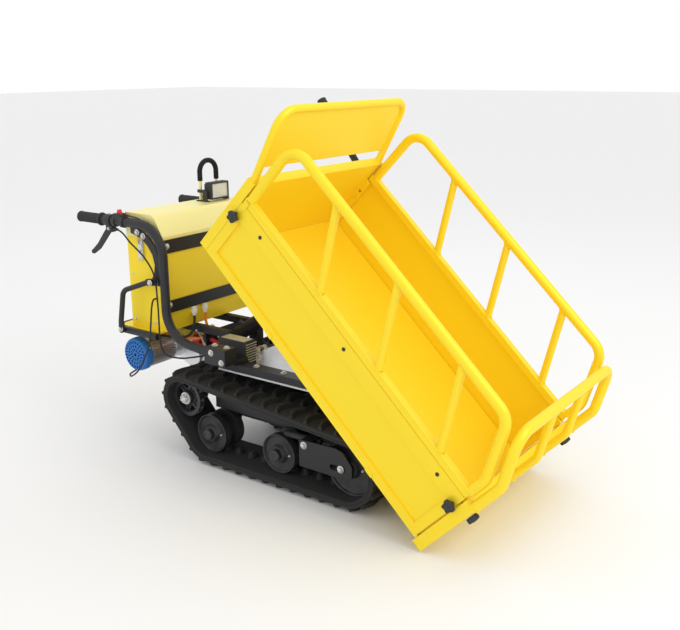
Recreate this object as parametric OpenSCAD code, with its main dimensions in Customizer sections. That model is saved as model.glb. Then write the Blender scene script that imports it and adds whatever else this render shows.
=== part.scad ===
// Tracked power wheelbarrow with a tipping tray, drop sides, gate and walk-behind controls.
// X runs forward to the dump end, Y to the left and Z up; the ground is z = 0.

/* [Tray] */
// Length of the tray floor, rear wall to gate
tray_l = 1087; // [1060:1:1090]
// Outer width of the tray
tray_w = 700; // [690:5:710]
// Height of the side walls
wall_h = 230; // [220:5:240]
// Thickness of a side wall's borders
wall_t = 14; // [13:1:15]
// Height of the side rails above the tray floor
hoop_h = 495; // [480:5:510]
// Diameter of the side and gate rails
hoop_d = 32; // [28:1:32]
// Diameter of the rail struts
strut_d = 25; // [20:1:26]
// Height of the rear wall
rear_h = 305; // [295:5:315]
// Nose-down angle of the tray as it stands
tip_angle = 44; // [43.5:0.1:44]

/* [Tracks] */
// Width of one rubber belt
belt_w = 180; // [170:2:184]
// Distance of each belt's middle from the centre line
belt_y = 190; // [188:1:196]
// Thickness of the belt without its lugs
belt_t = 16; // [14:1:16]
// Height of the tread lugs
lug_h = 22; // [18:1:22]
// Number of tread lugs on one belt
lug_n = 37; // [30:1:40]
// Diameter of the road wheels
wheel_d = 137; // [130:1:137]

/* [Handlebars] */
// Diameter of the handlebar tube
bar_d = 32; // [30:1:32]
// Distance of each handlebar from the centre line
bar_y = 255; // [252:1:258]
// Height of the grips above the ground
grip_z = 827; // [820:1:835]

/* [Console] */
// Width of the battery box
box_w = 472; // [460:2:474]
// Height of the battery box without its cover
box_h = 330; // [320:2:332]
// Depth of the battery box, front to rear
box_l = 180; // [176:1:184]

/* [Hidden] */
$fn = 48;
// The machine's middle, from the drive sprocket's side of the tray hinge
centre_x = -133;
fit = 0.05;
// A bend's tube is this much thicker than its straights
swell = 0.1;

// Tray hinge: its place on the chassis, and in the tray's own axes
pivot = [22, 0, 403];
tray_pivot = [520, 0, -45];
pivot_r = 12;
side_y = tray_w / 2;
floor_t = 3;
post_w = 20;
knob_z = 178;
knob_rear_x = 22;
knob_front_x = tray_l - 15;
fold_y = side_y - 5;
fold_z = 5;
gate_x = tray_l + 0.5;
gate_t = 38;
gate_low = -14;
gate_axis = [gate_x + 5, 0, -8];
gate_lug_y = 273;
gate_foot_y = 335;
gate_knob_y = side_y - 27;
gate_knob_z = 193;
hoop_y = 338;
sill_h = 26;

// Running gear: wheel centres in the X-Z plane
sprocket_c = [-547, 221];
idler_c = [155, 131];
wheel_rear_c = [-444, 107];
wheel_front_c = [-139, 107];
belt_all = belt_t + lug_h;
sprocket_r = 105;
idler_r = idler_c[1];
wheel_r = wheel_rear_c[1];
axle_r = 12.5;
shaft_r = 15;
beam_in = belt_y - 58;
plate_in = belt_y - 68;

// Chassis
deck_z = 338;
deck_top = 344;
rail_in = 46;
rail_out = 90;
sub_z = 413;
sub_top = 438;
plate_top = 444;

// Lift cylinder: its chassis pin and, in the tray's axes, its tray pin
lift_y = 15;
lift_pin = [-560, 0, 374];
lift_tray = [216, 0, -40];
lift_pin_r = 8;
barrel_r = 28;

// Console
box_front = -640;
box_rear = box_front - box_l;
box_top = plate_top + box_h;
lid_h = 86;
lid_hinge = [box_rear - 6, box_top + 12];

gland_x = box_front + 10.5;

// Motor axis
motor_c = [-790, 339];
gear_c = [-690, 300];

lever_pin = [-884, grip_z - 30];
lamp_c = [-748, 150, box_top + lid_h];
lamp_axis = [lamp_c[0], lamp_c[2] + 38];
head_lean = 15;
loop_c = [wheel_rear_c, idler_c, sprocket_c];
loop_r = [wheel_r, idler_r, sprocket_r];

// ---------- helpers ----------

function unit(v) = v / norm(v);
function turn(i, pts) =
    acos(unit(pts[i - 1] - pts[i]) * unit(pts[i + 1] - pts[i]));
function trim(i, pts, r) = (i == 0 || i == len(pts) - 1) ? 0 :
    min(r / tan(turn(i, pts) / 2),
        0.48 * norm(pts[i] - pts[i - 1]), 0.48 * norm(pts[i + 1] - pts[i]));

// Puts the origin on the ground under the machine's middle
module standing() {
    translate([-centre_x, 0, 0])
        children();
}

// A straight round bar from p to q
module rod(p, q, d) {
    v = q - p;
    translate(p)
        rotate([0, acos(v[2] / norm(v)), atan2(v[1], v[0])])
            cylinder(h = norm(v), d = d);
}

// One bend of a tube at corner b, between a and c, with its tangent length t
module bend(a, b, c, t, d) {
    u = unit(a - b);
    w = unit(c - b);
    half = acos(u * w) / 2;
    r = t * tan(half);
    centre = b + unit(u + w) * (r / sin(half));
    ex = unit(b + u * t - centre);
    ez = unit(cross(ex, unit(b + w * t - centre)));
    ey = cross(ez, ex);
    multmatrix([[ex[0], ey[0], ez[0], centre[0]], [ex[1], ey[1], ez[1], centre[1]],
        [ex[2], ey[2], ez[2], centre[2]], [0, 0, 0, 1]])
        rotate_extrude(angle = 180 - 2 * half)
            translate([r, 0])
                circle(d = d + swell);
}

// A tube bent at each inner point of a path, at radius r; straights reach a little into bends
module bent(pts, d, r) {
    last = len(pts) - 1;
    for (i = [0 : last - 1]) {
        dir = unit(pts[i + 1] - pts[i]);
        from = trim(i, pts, r) - (i > 0 ? 1 : 0);
        to = trim(i + 1, pts, r) - (i < last - 1 ? 1 : 0);
        rod(pts[i] + dir * from, pts[i + 1] - dir * to, d);
    }
    for (i = [1 : last - 1])
        bend(pts[i - 1], pts[i], pts[i + 1], trim(i, pts, r), d);
}

// A cord through its route's points: a smooth curve swept with eight sides
function curve(p0, p1, p2, p3, t) = 0.5 * (2 * p1 + (p2 - p0) * t +
    (2 * p0 - 5 * p1 + 4 * p2 - p3) * t * t + (3 * p1 - p0 - 3 * p2 + p3) * t * t * t);
function smooth(pts, n) = let (last = len(pts) - 1)
    [for (i = [0 : last - 1]) for (k = [0 : n - 1])
        curve(pts[max(i - 1, 0)], pts[i], pts[i + 1], pts[min(i + 2, last)], k / n),
    pts[last]];
function along(p, i) = unit(p[min(i + 1, len(p) - 1)] - p[max(i - 1, 0)]);
function carried(p, i) = let (
    last = i == 0 ? [0.1, 0.9, 0.2] : carried(p, i - 1),
    t = along(p, i)) unit(last - (last * t) * t);

module cord(pts, d, n) {
    p = smooth(pts, n);
    rings = len(p);
    sides = 8;
    points = [for (i = [0 : rings - 1]) let (u = carried(p, i), w = cross(along(p, i), u))
        for (a = [0 : 360 / sides : 359]) p[i] + d / 2 * (u * cos(a) + w * sin(a))];
    walls = [for (i = [0 : rings - 2]) for (k = [0 : sides - 1]) let (
        a = i * sides + k,
        b = i * sides + (k + 1) % sides)
        each [[a, a + sides, b], [b, a + sides, b + sides]]];
    polyhedron(points, concat(walls, [[for (k = [0 : sides - 1]) k]],
        [[for (k = [sides - 1 : -1 : 0]) (rings - 1) * sides + k]]));
}

// A plate in the X-Z plane, from y to y + t
module xz_plate(y, t) {
    translate([0, y + t, 0])
        rotate([90, 0, 0])
            linear_extrude(t)
                children();
}

// A round bar along Y, centred on [x, z]
module y_bar(c, y, l, r) {
    translate([c[0], y, c[1]])
        rotate([-90, 0, 0])
            cylinder(h = l, r = r);
}

// A block between two corners
module block(low, high) {
    translate(low)
        cube(high - low);
}

// Two circles and the bar between them, of one radius
module link2d(p, q, r) {
    d = q - p;
    translate(p) circle(r);
    translate(q) circle(r);
    translate(p)
        rotate(atan2(d[1], d[0]))
            translate([0, -r])
                square([norm(d), 2 * r]);
}

// Puts children, drawn in the tray's own axes, where the tray stands
module tray_place() {
    translate(pivot)
        rotate([0, tip_angle, 0])
            translate(-tray_pivot)
                children();
}

// s = 1 draws the left side, s = -1 its mirror image on the right
module side(s) {
    mirror([0, s < 0 ? 1 : 0, 0])
        children();
}

module both_sides() {
    side(1) children();
    side(-1) children();
}

// ---------- tracks ----------

// The belt's loop: its round ends, counter-clockwise, grown by g
function heading(i) = let (d = loop_c[(i + 1) % 3] - loop_c[i]) atan2(d[1], d[0]);
function normal(i) = let (j = (i + 1) % 3)
    heading(i) - acos((loop_r[i] - loop_r[j]) / norm(loop_c[j] - loop_c[i]));
function ray(a) = [cos(a), sin(a)];
function touch(i, k, g) = loop_c[k % 3] + (loop_r[k % 3] + g) * ray(normal(i));
function run(i) = norm(touch(i, i + 1, 0) - touch(i, i, 0));
function wrap(i) = let (a = normal(i) - normal((i + 2) % 3)) (a % 360 + 360) % 360;
function arc(i) = wrap(i) * PI / 180 * loop_r[i];
loop_len = run(0) + run(1) + run(2) + arc(0) + arc(1) + arc(2);

module belt_outline(g) {
    polygon([for (i = [0 : 2]) each [touch(i, i, g), touch(i, i + 1, g)]]);
    for (i = [0 : 2])
        translate(loop_c[i])
            circle(loop_r[i] + g);
}

// A lug stands at distance s along the loop, which starts at the rear wheel's ground point
module lug_at(s, i = 0) {
    if (s < run(i))
        translate(touch(i, i, 0) + (touch(i, i + 1, 0) - touch(i, i, 0)) * s / run(i))
            rotate(normal(i))
                children();
    else if (s < run(i) + arc((i + 1) % 3)) {
        k = (i + 1) % 3;
        a = normal(i) + (s - run(i)) / loop_r[k] * 180 / PI;
        translate(loop_c[k] + loop_r[k] * ray(a))
            rotate(a)
                children();
    }
    else
        lug_at(s - run(i) - arc((i + 1) % 3), (i + 1) % 3)
            children();
}

module track_belt(s) {
    color("#1c1c1d")
    standing()
        xz_plate(s * belt_y - belt_w / 2, belt_w)
            difference() {
                union() {
                    belt_outline(-lug_h);
                    for (n = [0 : lug_n - 1])
                        lug_at((n + 0.5) * loop_len / lug_n)
                            translate([-lug_h - 5, -12])
                                square([lug_h + 5, 24]);
                }
                belt_outline(-belt_all);
            }
}

// A wheel with two rims that leave a groove for the belt's guide teeth
module twin_wheel(c, r, bore, half) {
    translate([c[0], belt_y, c[1]])
        rotate([-90, 0, 0])
            difference() {
                rotate_extrude()
                    polygon([[bore, -half - 8], [30, -half - 8], [30, -half + 10],
                        [r - 16, -half + 10], [r - 12, -half], [r, -half], [r, -20],
                        [r - 26, -20], [r - 26, 20], [r, 20], [r, half], [r - 12, half],
                        [r - 16, half - 10], [30, half - 10], [30, half + 8],
                        [bore, half + 8]]);
                for (a = [0 : 60 : 300])
                    rotate(a)
                        translate([(r + 8) / 2, 0, half - 16])
                            cylinder(h = 20, r = 6);
            }
}

module road_wheel(c, s) {
    color("#232324")
    standing()
        side(s)
            twin_wheel(c, wheel_d / 2, axle_r + fit, 48);
}

module idler(s) {
    color("#232324")
    standing()
        side(s)
            twin_wheel(idler_c, idler_r - belt_all - 0.4, axle_r + fit, 46);
}

// Drive sprocket with its half shaft, keyed and held by a castle nut
module sprocket(s) {
    rim = sprocket_r - belt_all - 0.4;
    color("#2b2b2d")
    standing()
        side(s)
            difference() {
                union() {
                    translate([sprocket_c[0], belt_y, sprocket_c[1]])
                        rotate([-90, 0, 0])
                            rotate_extrude()
                                polygon([[0, -24], [26, -24], [26, 38], [rim - 12, 38],
                                    [rim - 12, 34], [rim, 34], [rim, 60], [rim - 12, 60],
                                    [rim - 12, 48], [28, 48], [28, 66], [14, 66], [14, 78],
                                    [0, 78]]);
                    y_bar(sprocket_c, 62, belt_y - 62, shaft_r);
                }
                for (a = [0 : 60 : 300])
                    y_bar(sprocket_c + 41 * ray(a), belt_y + 30, 30, 9);
            }
}

module wheel_axles() {
    color("#6d6f72")
    standing()
        both_sides() {
            for (c = [wheel_rear_c, wheel_front_c]) {
                y_bar(c, beam_in, 123, axle_r);
                y_bar(c, beam_in + 118, 12, 20);
            }
            y_bar(idler_c, beam_in, 118.5, axle_r);
        }
}

// Side beam of each track with the plate that carries its wheels
module track_frames() {
    color("#161617")
    standing()
        both_sides()
            difference() {
                union() {
                    difference() {
                        block([-470, beam_in, 184], [20, beam_in + 50, 224]);
                        block([-466, beam_in + 4, 188], [16, beam_in + 46, 220]);
                    }
                    xz_plate(plate_in, beam_in - plate_in)
                        polygon([[-478, 85], [-420, 85], [-400, 150], [-180, 150],
                            [-160, 85], [-110, 85], [-80, 150], [110, 110], [190, 112],
                            [190, 150], [60, 205], [20, 224], [-470, 224]]);
                }
                for (c = [wheel_rear_c, wheel_front_c, idler_c])
                    y_bar(c, plate_in + 2, 8, axle_r);
            }
}

// Outer plate of each idler fork, its spacer and the adjusting screw in the slot
module tensioner_plates() {
    out = beam_in + 119;
    color("#1a1a1b")
    standing()
        both_sides()
            difference() {
                union() {
                    xz_plate(out, 8)
                        polygon([[-34, 100], [-34, 193], [112, 197], [140, 190],
                            [175, 150], [175, 106], [160, 98]]);
                    block([-30, beam_in + 50, 184], [10, out, 192]);
                    block([-30, beam_in + 50, 192], [10, beam_in + 56, 220]);
                    block([-30, out - 30, 120], [-22, out, 184]);
                }
                xz_plate(out - 1, 10)
                    link2d([100, 131], [140, 131], 9);
            }
}

// ---------- chassis ----------

module chassis_frame() {
    color("#141415")
    standing()
        difference() {
            union() {
                both_sides() {
                    block([-500, rail_in, 294], [85, rail_out, deck_z]);
                    for (x = [-330, -40])
                        block([x, 45, 224], [x + 40, 85, 294]);
                    block([-520, 60, deck_z], [-480, 95, sub_z]);
                    block([-520, 60, 294], [-500, 90, deck_z]);
                    block([-865, 70, sub_z], [-480, 95, sub_top]);
                    xz_plate(60.1, 6)
                        polygon([[-570, 236], [-486, 236], [-486, 294], [-570, 294]]);
                    block([-430, 215, 379], [-335, 270, 437]);
                    block([-425, 150, 368], [-340, 219, 383]);
                    block([-430, 150, deck_top], [85, 200, 368]);
                    block([-20, 106, deck_top], [64, 118, 372]);
                    xz_plate(106, 12)
                        link2d([22, 372], [pivot[0], pivot[2]], 24);
                }
                for (x = [-330, -40])
                    block([x, -plate_in, 184], [x + 40, plate_in, 224]);
                block([-520, -rail_in - 4, 300], [-498, rail_in + 4, 330]);
                block([-100, -rail_in, 300], [-80, rail_in, 330]);
                block([-865, -70, sub_z], [-845, 70, sub_top]);
                block([-605, -95, 350], [-592, 95, sub_z]);
                for (y = [lift_y - 18, lift_y + 12.3])
                    xz_plate(y, 5.7)
                        link2d([-586, 374], [lift_pin[0], lift_pin[2]], 13);
            }
            y_bar([pivot[0], pivot[2]], -130, 260, pivot_r + fit);
            y_bar([lift_pin[0], lift_pin[2]], lift_y - 20, 40, lift_pin_r + fit);
            both_sides() {
                block([-500 + 4, rail_in + 4, 298], [81, rail_out - 4, deck_z - 4]);
                block([-425, 154, deck_top + 4], [80, 196, 364]);
                rod([-460, bar_y, 418], [-400, bar_y, 414], bar_d);
            }
        }
}

module deck_plate() {
    color("#2a2b2c")
    standing()
        difference() {
            block([-430, -205, deck_z], [85, 205, deck_top]);
            both_sides()
                for (x = [-410, -160, 60])
                    translate([x, 120, deck_z - 1])
                        cylinder(h = 10, r = 5);
        }
}

module controller_box() {
    color("#1b1b1c") standing() {
        difference() {
            block([-480, -148, deck_top], [-352, -92, 432]);
            block([-476, -144, deck_top + 4], [-356, -96, 428]);
        }
    }
}

// ---------- handlebars and controls ----------

function bar_route() = [[-1035, bar_y, grip_z], [-620, bar_y, grip_z], [-620, bar_y, 432],
    [-400, bar_y, 414]];

module handlebar(s) {
    color("#121213")
    standing()
        side(s) {
            bent(bar_route(), bar_d, 110);
            xz_plate(bar_y - 2.5, 5)
                polygon([[-776, grip_z - 10], [-740, grip_z - 14], [-642, 740], [-632, 650],
                    [-636, 620], [-690, 612], [-690, 640], [-672, 680], [-700, 735],
                    [-776, 790]]);
        }
}

module hand_grips() {
    color("#1d1d1e")
    standing()
        both_sides()
            difference() {
                union() {
                    rod([-1040, bar_y, grip_z], [-925, bar_y, grip_z], 38);
                    rod([-930, bar_y, grip_z], [-924, bar_y, grip_z], 48);
                    rod([-1046, bar_y, grip_z], [-1040, bar_y, grip_z], 42);
                }
                rod([-1035, bar_y, grip_z], [-900, bar_y, grip_z], bar_d);
            }
}

// Clamp on each bar with the ears that hold the brake lever, and the switch housing
module lever_perches() {
    color("#18181a")
    standing()
        both_sides()
            difference() {
                union() {
                    rod([-900, bar_y, grip_z], [-870, bar_y, grip_z], 44);
                    for (y = [bar_y - 10, bar_y + 5])
                        block([-896, y, lever_pin[1] - 9], [-872, y + 5, grip_z - 12]);
                    block([-872, bar_y - 10, lever_pin[1] - 9], [-866, bar_y + 10, grip_z - 16]);
                    rod([-860, bar_y, grip_z], [-800, bar_y, grip_z], 46);
                    block([-850, bar_y - 15, grip_z], [-810, bar_y + 15, grip_z + 30]);
                }
                rod([-905, bar_y, grip_z], [-790, bar_y, grip_z], bar_d);
                block([-865, bar_y - 25, grip_z - 25], [-795, bar_y - 15, grip_z + 35]);
                y_bar(lever_pin, bar_y - 12, 24, 3 + fit);
                block([-842, bar_y - 8, grip_z + 17], [-818, bar_y + 8, grip_z + 31]);
                y_bar([-830, grip_z + 24], bar_y - 12, 24, 2.5 + fit);
            }
}

module brake_lever(s) {
    color("#101011")
    standing()
        side(s) {
            xz_plate(bar_y - 4, 8)
                polygon([[-888, 803], [-878, 793], [-899, 771], [-945, 721], [-982, 697],
                    [-987, 706], [-954, 731], [-911, 781]]);
            y_bar(lever_pin, bar_y - 4, 8, 8);
            y_bar([-985, 702], bar_y - 6, 12, 8);
            y_bar(lever_pin, bar_y - 9.5, 19, 3);
        }
}

module thumb_switch(s) {
    color("#d01018")
    standing()
        translate([-830, s * bar_y, grip_z + 24]) {
            rotate([-90, 0, 0])
                translate([0, 0, -11])
                    cylinder(h = 22, r = 2.5);
            translate([-10, -7, -3])
                cube([20, 14, 7]);
            translate([-6, -6, 4])
                cube([12, 12, 12]);
        }
}

// Brake cables from the lever perches to the arms on the gearbox
module control_cables() {
    color("#0e0e0f")
    standing()
        both_sides()
            cord([[-865.5, bar_y, 797], [-845, 256, 796], [-810, 262, 786], [-770, 266, 758],
                [-705, 267, 715], [-658, 267, 655], [-648, 267, 560], [-646, 268, 480],
                [-645, 268, 410], [-636, 255, 368], [-605, 215, 348], [-575, 165, 345],
                [-555, 125, 345], [-548, 94.3, 343]], 6, 5);
}

// ---------- console ----------

module battery_box() {
    color("#f5c400")
    standing()
        difference() {
            union() {
                difference() {
                    block([box_rear, -box_w / 2, plate_top], [box_front, box_w / 2, box_top]);
                    block([box_rear + 3, -box_w / 2 + 3, plate_top + 3],
                        [box_front - 3, box_w / 2 - 3, box_top + 1]);
                }
                both_sides()
                    xz_plate(204, 10)
                        link2d([box_rear - 6, box_top - 16], lid_hinge, 8);
            }
            block([box_rear + 3, -220, box_top - 30], [box_rear + 10, 220, box_top + 30]);
            y_bar(lid_hinge, -220, 440, 5 + fit);
        }
}

module battery_pack() {
    color("#2a2d33")
    standing()
        for (y = [-202, 3]) {
            block([box_rear + 5, y, plate_top + 3], [box_front - 8, y + 198, plate_top + 168]);
            for (dy = [30, 168])
                translate([box_front - 60, y + dy, plate_top + 168])
                    cylinder(h = 12, r = 7);
        }
}

// Cross bands welded between the posts, in front of the battery box
module console_bands() {
    color("#151516")
    standing()
        difference() {
            union() {
                block([box_front, -bar_y, 726], [box_front + 6, bar_y, box_top]);
                block([box_front, -bar_y, 512], [box_front + 6, bar_y, 556]);
            }
            both_sides()
                rod([-620, bar_y, 480], [-620, bar_y, box_top + 10], bar_d + 0.2);
        }
}

module toggle_latches() {
    color("#b9bbbd")
    standing()
        both_sides() {
            block([-760, box_w / 2, 700], [-735, box_w / 2 + 4, box_top - 8]);
            y_bar([-747, 712], box_w / 2 + 4, 5, 8);
        }
}

// Rear platform: a plate in a bent tube rim, with a hand hole
module platform() {
    color("#f5c400")
    standing()
        difference() {
            block([-868, -258, sub_top], [-655, 258, plate_top]);
            translate([0, 0, sub_top - 1])
                linear_extrude(10)
                    link2d([-690, -150], [-690, -205], 14);
        }
    color("#131314")
    standing()
        bent([[-655, 270, 432], [-880, 270, 432], [-880, -270, 432], [-655, -270, 432]], 24, 60);
}

// Flat links that hold the platform's rear corners to the handlebar posts
module brace_links() {
    color("#131314")
    standing()
        both_sides() {
            xz_plate(283, 6)
                link2d([-820, 440], [-676, 628], 12);
            y_bar([-820, 440], 270, 24, 7);
            y_bar([-676, 628], bar_y + 2.5, 30, 7);
        }
}

module cable_glands() {
    color("#e9e9e6")
    standing()
        for (y = [-110, -55])
            translate([gland_x, y, 0]) {
                translate([0, 0, 488])
                    cylinder(h = 24, r = 10);
                translate([0, 0, 480])
                    cylinder(h = 8, r = 7);
            }
}

// The hinged cover: a lip, a slanted face and a flat top
module battery_lid() {
    top = box_top + lid_h;
    color("#f7d54a")
    standing()
        difference() {
            union() {
                xz_plate(-box_w / 2 - 1, box_w + 2)
                    polygon([[box_front + 2, box_top + 0.5], [box_front + 2, box_top + 12],
                        [box_front - 34, top - 12], [box_front - 50, top],
                        [box_rear - 2, top], [box_rear - 2, box_top + 0.5]]);
                y_bar(lid_hinge, -216, 432, 5);
            }
            xz_plate(-box_w / 2 + 2, box_w - 4)
                polygon([[box_front - 1, box_top - 1], [box_front - 1, box_top + 10],
                    [box_front - 36, top - 15], [box_front - 52, top - 3],
                    [box_rear + 1, top - 3], [box_rear + 1, box_top - 1]]);
            both_sides()
                difference() {
                    block([box_rear - 20, 202, box_top - 1], [box_rear + 2, 216.5, box_top + 26]);
                    y_bar(lid_hinge, 200, 20, 5);
                }
        }
}

module lamp_bracket() {
    color("#161617") standing() {
        block([lamp_c[0] - 46, 90, lamp_c[2]], [lamp_c[0] + 14, 210, lamp_c[2] + 4]);
        for (y = [90, 206])
            difference() {
                xz_plate(y, 4)
                    union() {
                        link2d([lamp_c[0], lamp_c[2] + 14], lamp_axis, 11);
                        translate([lamp_c[0] - 14, lamp_c[2] + 3])
                            square([28, 6]);
                    }
                y_bar(lamp_axis, y - 1, 6, 4 + fit);
            }
    }
    color("#f0b81c")
    standing()
        bent([[lamp_c[0] - 36, 106, lamp_c[2]], [lamp_c[0] - 36, 106, lamp_c[2] + 150],
            [lamp_c[0] - 36, 194, lamp_c[2] + 150], [lamp_c[0] - 36, 194, lamp_c[2]]], 12, 34);
}

module lamp_head() {
    x = lamp_c[0];
    z = lamp_axis[1];
    color("#1a1a1b")
    standing()
        difference() {
            union() {
                block([x - 8, 103, z - 30], [x + 26, 197, z + 34]);
                for (k = [0 : 5])
                    block([x - 12, 106 + 16 * k, z - 26], [x - 8, 110 + 16 * k, z + 30]);
                y_bar([x, z], 89, 122, 4);
            }
            block([x + 6, 109, z - 24], [x + 27, 191, z + 28]);
        }
    color("#dfe8ee")
    standing()
        block([x + 20, 109, z - 24], [x + 24, 191, z + 28]);
}

// ---------- drive ----------

module gear_outline() {
    polygon([[-567, 166], [-527, 166], [-497, 192], [-490, 231], [-512, 270], [-669, 346],
        [-772, 386], [-811, 384], [-833, 364], [-839, 330], [-822, 301], [-711, 254],
        [-585, 182]]);
}

module gearbox() {
    color("#b8babc")
    standing()
        difference() {
            union() {
                xz_plate(-60, 120)
                    gear_outline();
                both_sides()
                    y_bar(sprocket_c, 60, 36, 34);
                y_bar(motor_c, -98, 38, 56);
                for (y = [-70, 60])
                    y_bar(gear_c, y, 10, 36);
                both_sides()
                    block([-554, 86, 240], [-542, 94, 352]);
            }
            y_bar(sprocket_c, 61, 40, shaft_r + fit);
            y_bar(sprocket_c, -101, 40, shaft_r + fit);
            y_bar(motor_c, -99, 20, 14);
        }
}

module motor_body() {
    color("#a9abad")
    standing()
        translate([motor_c[0], -98, motor_c[1]])
            rotate([90, 0, 0])
                difference() {
                    union() {
                        cylinder(h = 130, r = 48);
                        cylinder(h = 10, r = 57);
                        for (a = [0 : 15 : 345])
                            rotate(a)
                                translate([44, -1.5, 10])
                                    cube([12, 3, 120]);
                        translate([-18, 50, 30])
                            cube([36, 14, 50]);
                    }
                    translate([0, 0, 8])
                        cylinder(h = 114, r = 40);
                    translate([0, 0, -1])
                        cylinder(h = 132, r = 10 + fit);
                }
}

module motor_rotor() {
    color("#8a6a4a")
    standing()
        translate([motor_c[0], -98, motor_c[1]])
            rotate([90, 0, 0]) {
                translate([0, 0, -14])
                    cylinder(h = 166, r = 10);
                translate([0, 0, 18])
                    cylinder(h = 90, r = 37);
                translate([0, 0, 136])
                    cylinder(h = 4, r = 50);
                for (a = [0 : 45 : 315])
                    rotate(a)
                        translate([20, -1, 139])
                            cube([29, 2, 13]);
            }
}

module fan_cover() {
    color("#1f4fc0")
    standing()
        translate([motor_c[0], -228, motor_c[1]])
            rotate([90, 0, 0])
                difference() {
                    cylinder(h = 34, r = 62);
                    translate([0, 0, -1])
                        cylinder(h = 32.5, r = 59.5);
                    cylinder(h = 50, r = 6);
                    for (row = [0 : 2])
                        for (a = [0 : 30 - 5 * row : 359])
                            rotate(a + 7 * row)
                                translate([18 + 14 * row, -2, 20])
                                    cube([9, 4, 20]);
                }
}

module parking_brake() {
    color("#c8161c")
    standing()
        difference() {
            union() {
                block([-676, -78, 318], [-612, -22, 372]);
                rod([-690, -50, 366], [-600, -50, 366], 40);
            }
            xz_plate(-80, 60)
                gear_outline();
        }
}

// Motor leads from the glands under the console
module wiring() {
    color("#ee4a10")
    standing()
        cord([[gland_x, -55, 480], [gland_x, -55, 455], [-622, -55, 425], [-613, -64, 401],
            [-617, -90, 391], [-645, -114, 390], [-705, -130, 395], [-771.7, -140, 397]], 9, 5);
    color("#111112") standing() {
        cord([[gland_x, -110, 480], [gland_x, -112, 455], [-632, -118, 425], [-648, -140, 402],
            [-705, -158, 396], [-771.7, -165, 397]], 9, 5);
        cord([[-690, -box_w / 2 - 0.2, 560], [-690, -250, 556], [-676, -272, 530],
            [-664, -292, 470], [-668, -297, 420], [-690, -297, 370], [-740, -292, 300],
            [-790, -284, 264], [-818, -266, 262], [-812, -240, 272], [-800, -222, 282.5]], 6, 5);
    }
}

// ---------- lift cylinder ----------

function lift_end() = let (p = lift_tray - tray_pivot)
    [pivot[0] + p[0] * cos(tip_angle) + p[2] * sin(tip_angle),
    pivot[2] - p[0] * sin(tip_angle) + p[2] * cos(tip_angle)];
function lift_run() = lift_end() - [lift_pin[0], lift_pin[2]];
function lift_slope() = atan2(lift_run()[1], lift_run()[0]);
function lift_long() = norm(lift_run());

// Draws children along +X from the chassis pin towards the tray pin
module lift_place() {
    translate([lift_pin[0], lift_y, lift_pin[2]])
        rotate([0, -lift_slope(), 0])
            children();
}

module lift_barrel() {
    color("#171718")
    standing()
        lift_place()
            difference() {
                union() {
                    y_bar([0, 0], -12, 24, 19);
                    rod([14, 0, 0], [36, 0, 0], 36);
                    rod([30, 0, 0], [242, 0, 0], 2 * barrel_r);
                    rod([242, 0, 0], [250, 0, 0], 2 * barrel_r - 6);
                }
                y_bar([0, 0], -13, 26, lift_pin_r + fit);
                rod([34, 0, 0], [243, 0, 0], 2 * barrel_r - 10);
                rod([240, 0, 0], [251, 0, 0], 28 + 2 * fit);
            }
}

module lift_rod() {
    color("#c9cbcd")
    standing()
        lift_place() {
            rod([196, 0, 0], [lift_long() - 60, 0, 0], 28);
            rod([196, 0, 0], [lift_long() - 10, 0, 0], 22);
            rod([196, 0, 0], [216, 0, 0], 2 * barrel_r - 10.4);
            y_bar([lift_long(), 0], -12, 24, 17);
        }
}

// ---------- tray ----------

module tray_floor() {
    color("#f5c400")
    standing()
        tray_place()
            difference() {
                union() {
                    block([0.5, -side_y + 16, 0], [tray_l - 0.5, side_y - 16, floor_t]);
                    both_sides() {
                        block([30, 45, -38], [1060, 85, 0]);
                        block([156, 85, -30], [176, 210, 0]);
                        block([1040, 85, -30], [1060, 300, 0]);
                        block([tray_l - 21, side_y - 36, floor_t],
                            [tray_l - 1, side_y - wall_t - 1.4, wall_h - 2]);
                        block([1060, gate_lug_y - 10, -13],
                            [gate_axis[0] - 4, gate_lug_y + 10, -2]);
                        y_bar([gate_axis[0], gate_axis[2]], gate_lug_y - 10, 20, 5.5);
                        y_bar([gate_axis[0], gate_axis[2]], gate_lug_y - 20, 40, 4);
                        rod([tray_l - 1, fold_y, fold_z], [tray_l - 14, fold_y, fold_z], 8);
                        block([tray_l - 4, side_y - 20, 0], [tray_l - 1, side_y, 12]);
                        xz_plate(88, 12)
                            polygon([[490, 0], [550, 0], [538, -58], [502, -58]]);
                        y_bar([tray_pivot[0], tray_pivot[2]], 85, 40, pivot_r);
                    }
                    for (x = [430, 760])
                        block([x, -45, -38], [x + 30, 45, 0]);
                    y_bar([tray_pivot[0], tray_pivot[2]], -100, 200, pivot_r);
                    for (y = [lift_y - 18.2, lift_y + 12.5])
                        xz_plate(y, 5.7)
                            polygon([[190, 0], [300, 0], [236, -58], [200, -58]]);
                }
                both_sides() {
                    rod([knob_front_x, side_y - 40, knob_z], [knob_front_x, side_y, knob_z], 10);
                    rod([tray_l - 14, gate_knob_y, gate_knob_z],
                        [tray_l + 4, gate_knob_y, gate_knob_z], 10);
                }
            }
}

module tray_rear_wall() {
    color("#f5c400")
    standing()
        tray_place()
            difference() {
                union() {
                    difference() {
                        block([-32, -side_y, 0], [0, side_y, rear_h]);
                        block([-33, -side_y + 3, 3], [-4, side_y - 3, rear_h - 3]);
                    }
                    both_sides() {
                        block([0, side_y - 36, floor_t], [20, side_y - wall_t - 1.4, wall_h - 2]);
                        rod([-3, fold_y, fold_z], [12, fold_y, fold_z], 8);
                    }
                    for (y = [-120, 110])
                        block([-20, y, 3], [-4, y + 10, rear_h - 3]);
                }
                both_sides()
                    rod([knob_rear_x - 11, side_y - 40, knob_z],
                        [knob_rear_x - 11, side_y, knob_z], 10);
            }
}

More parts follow.
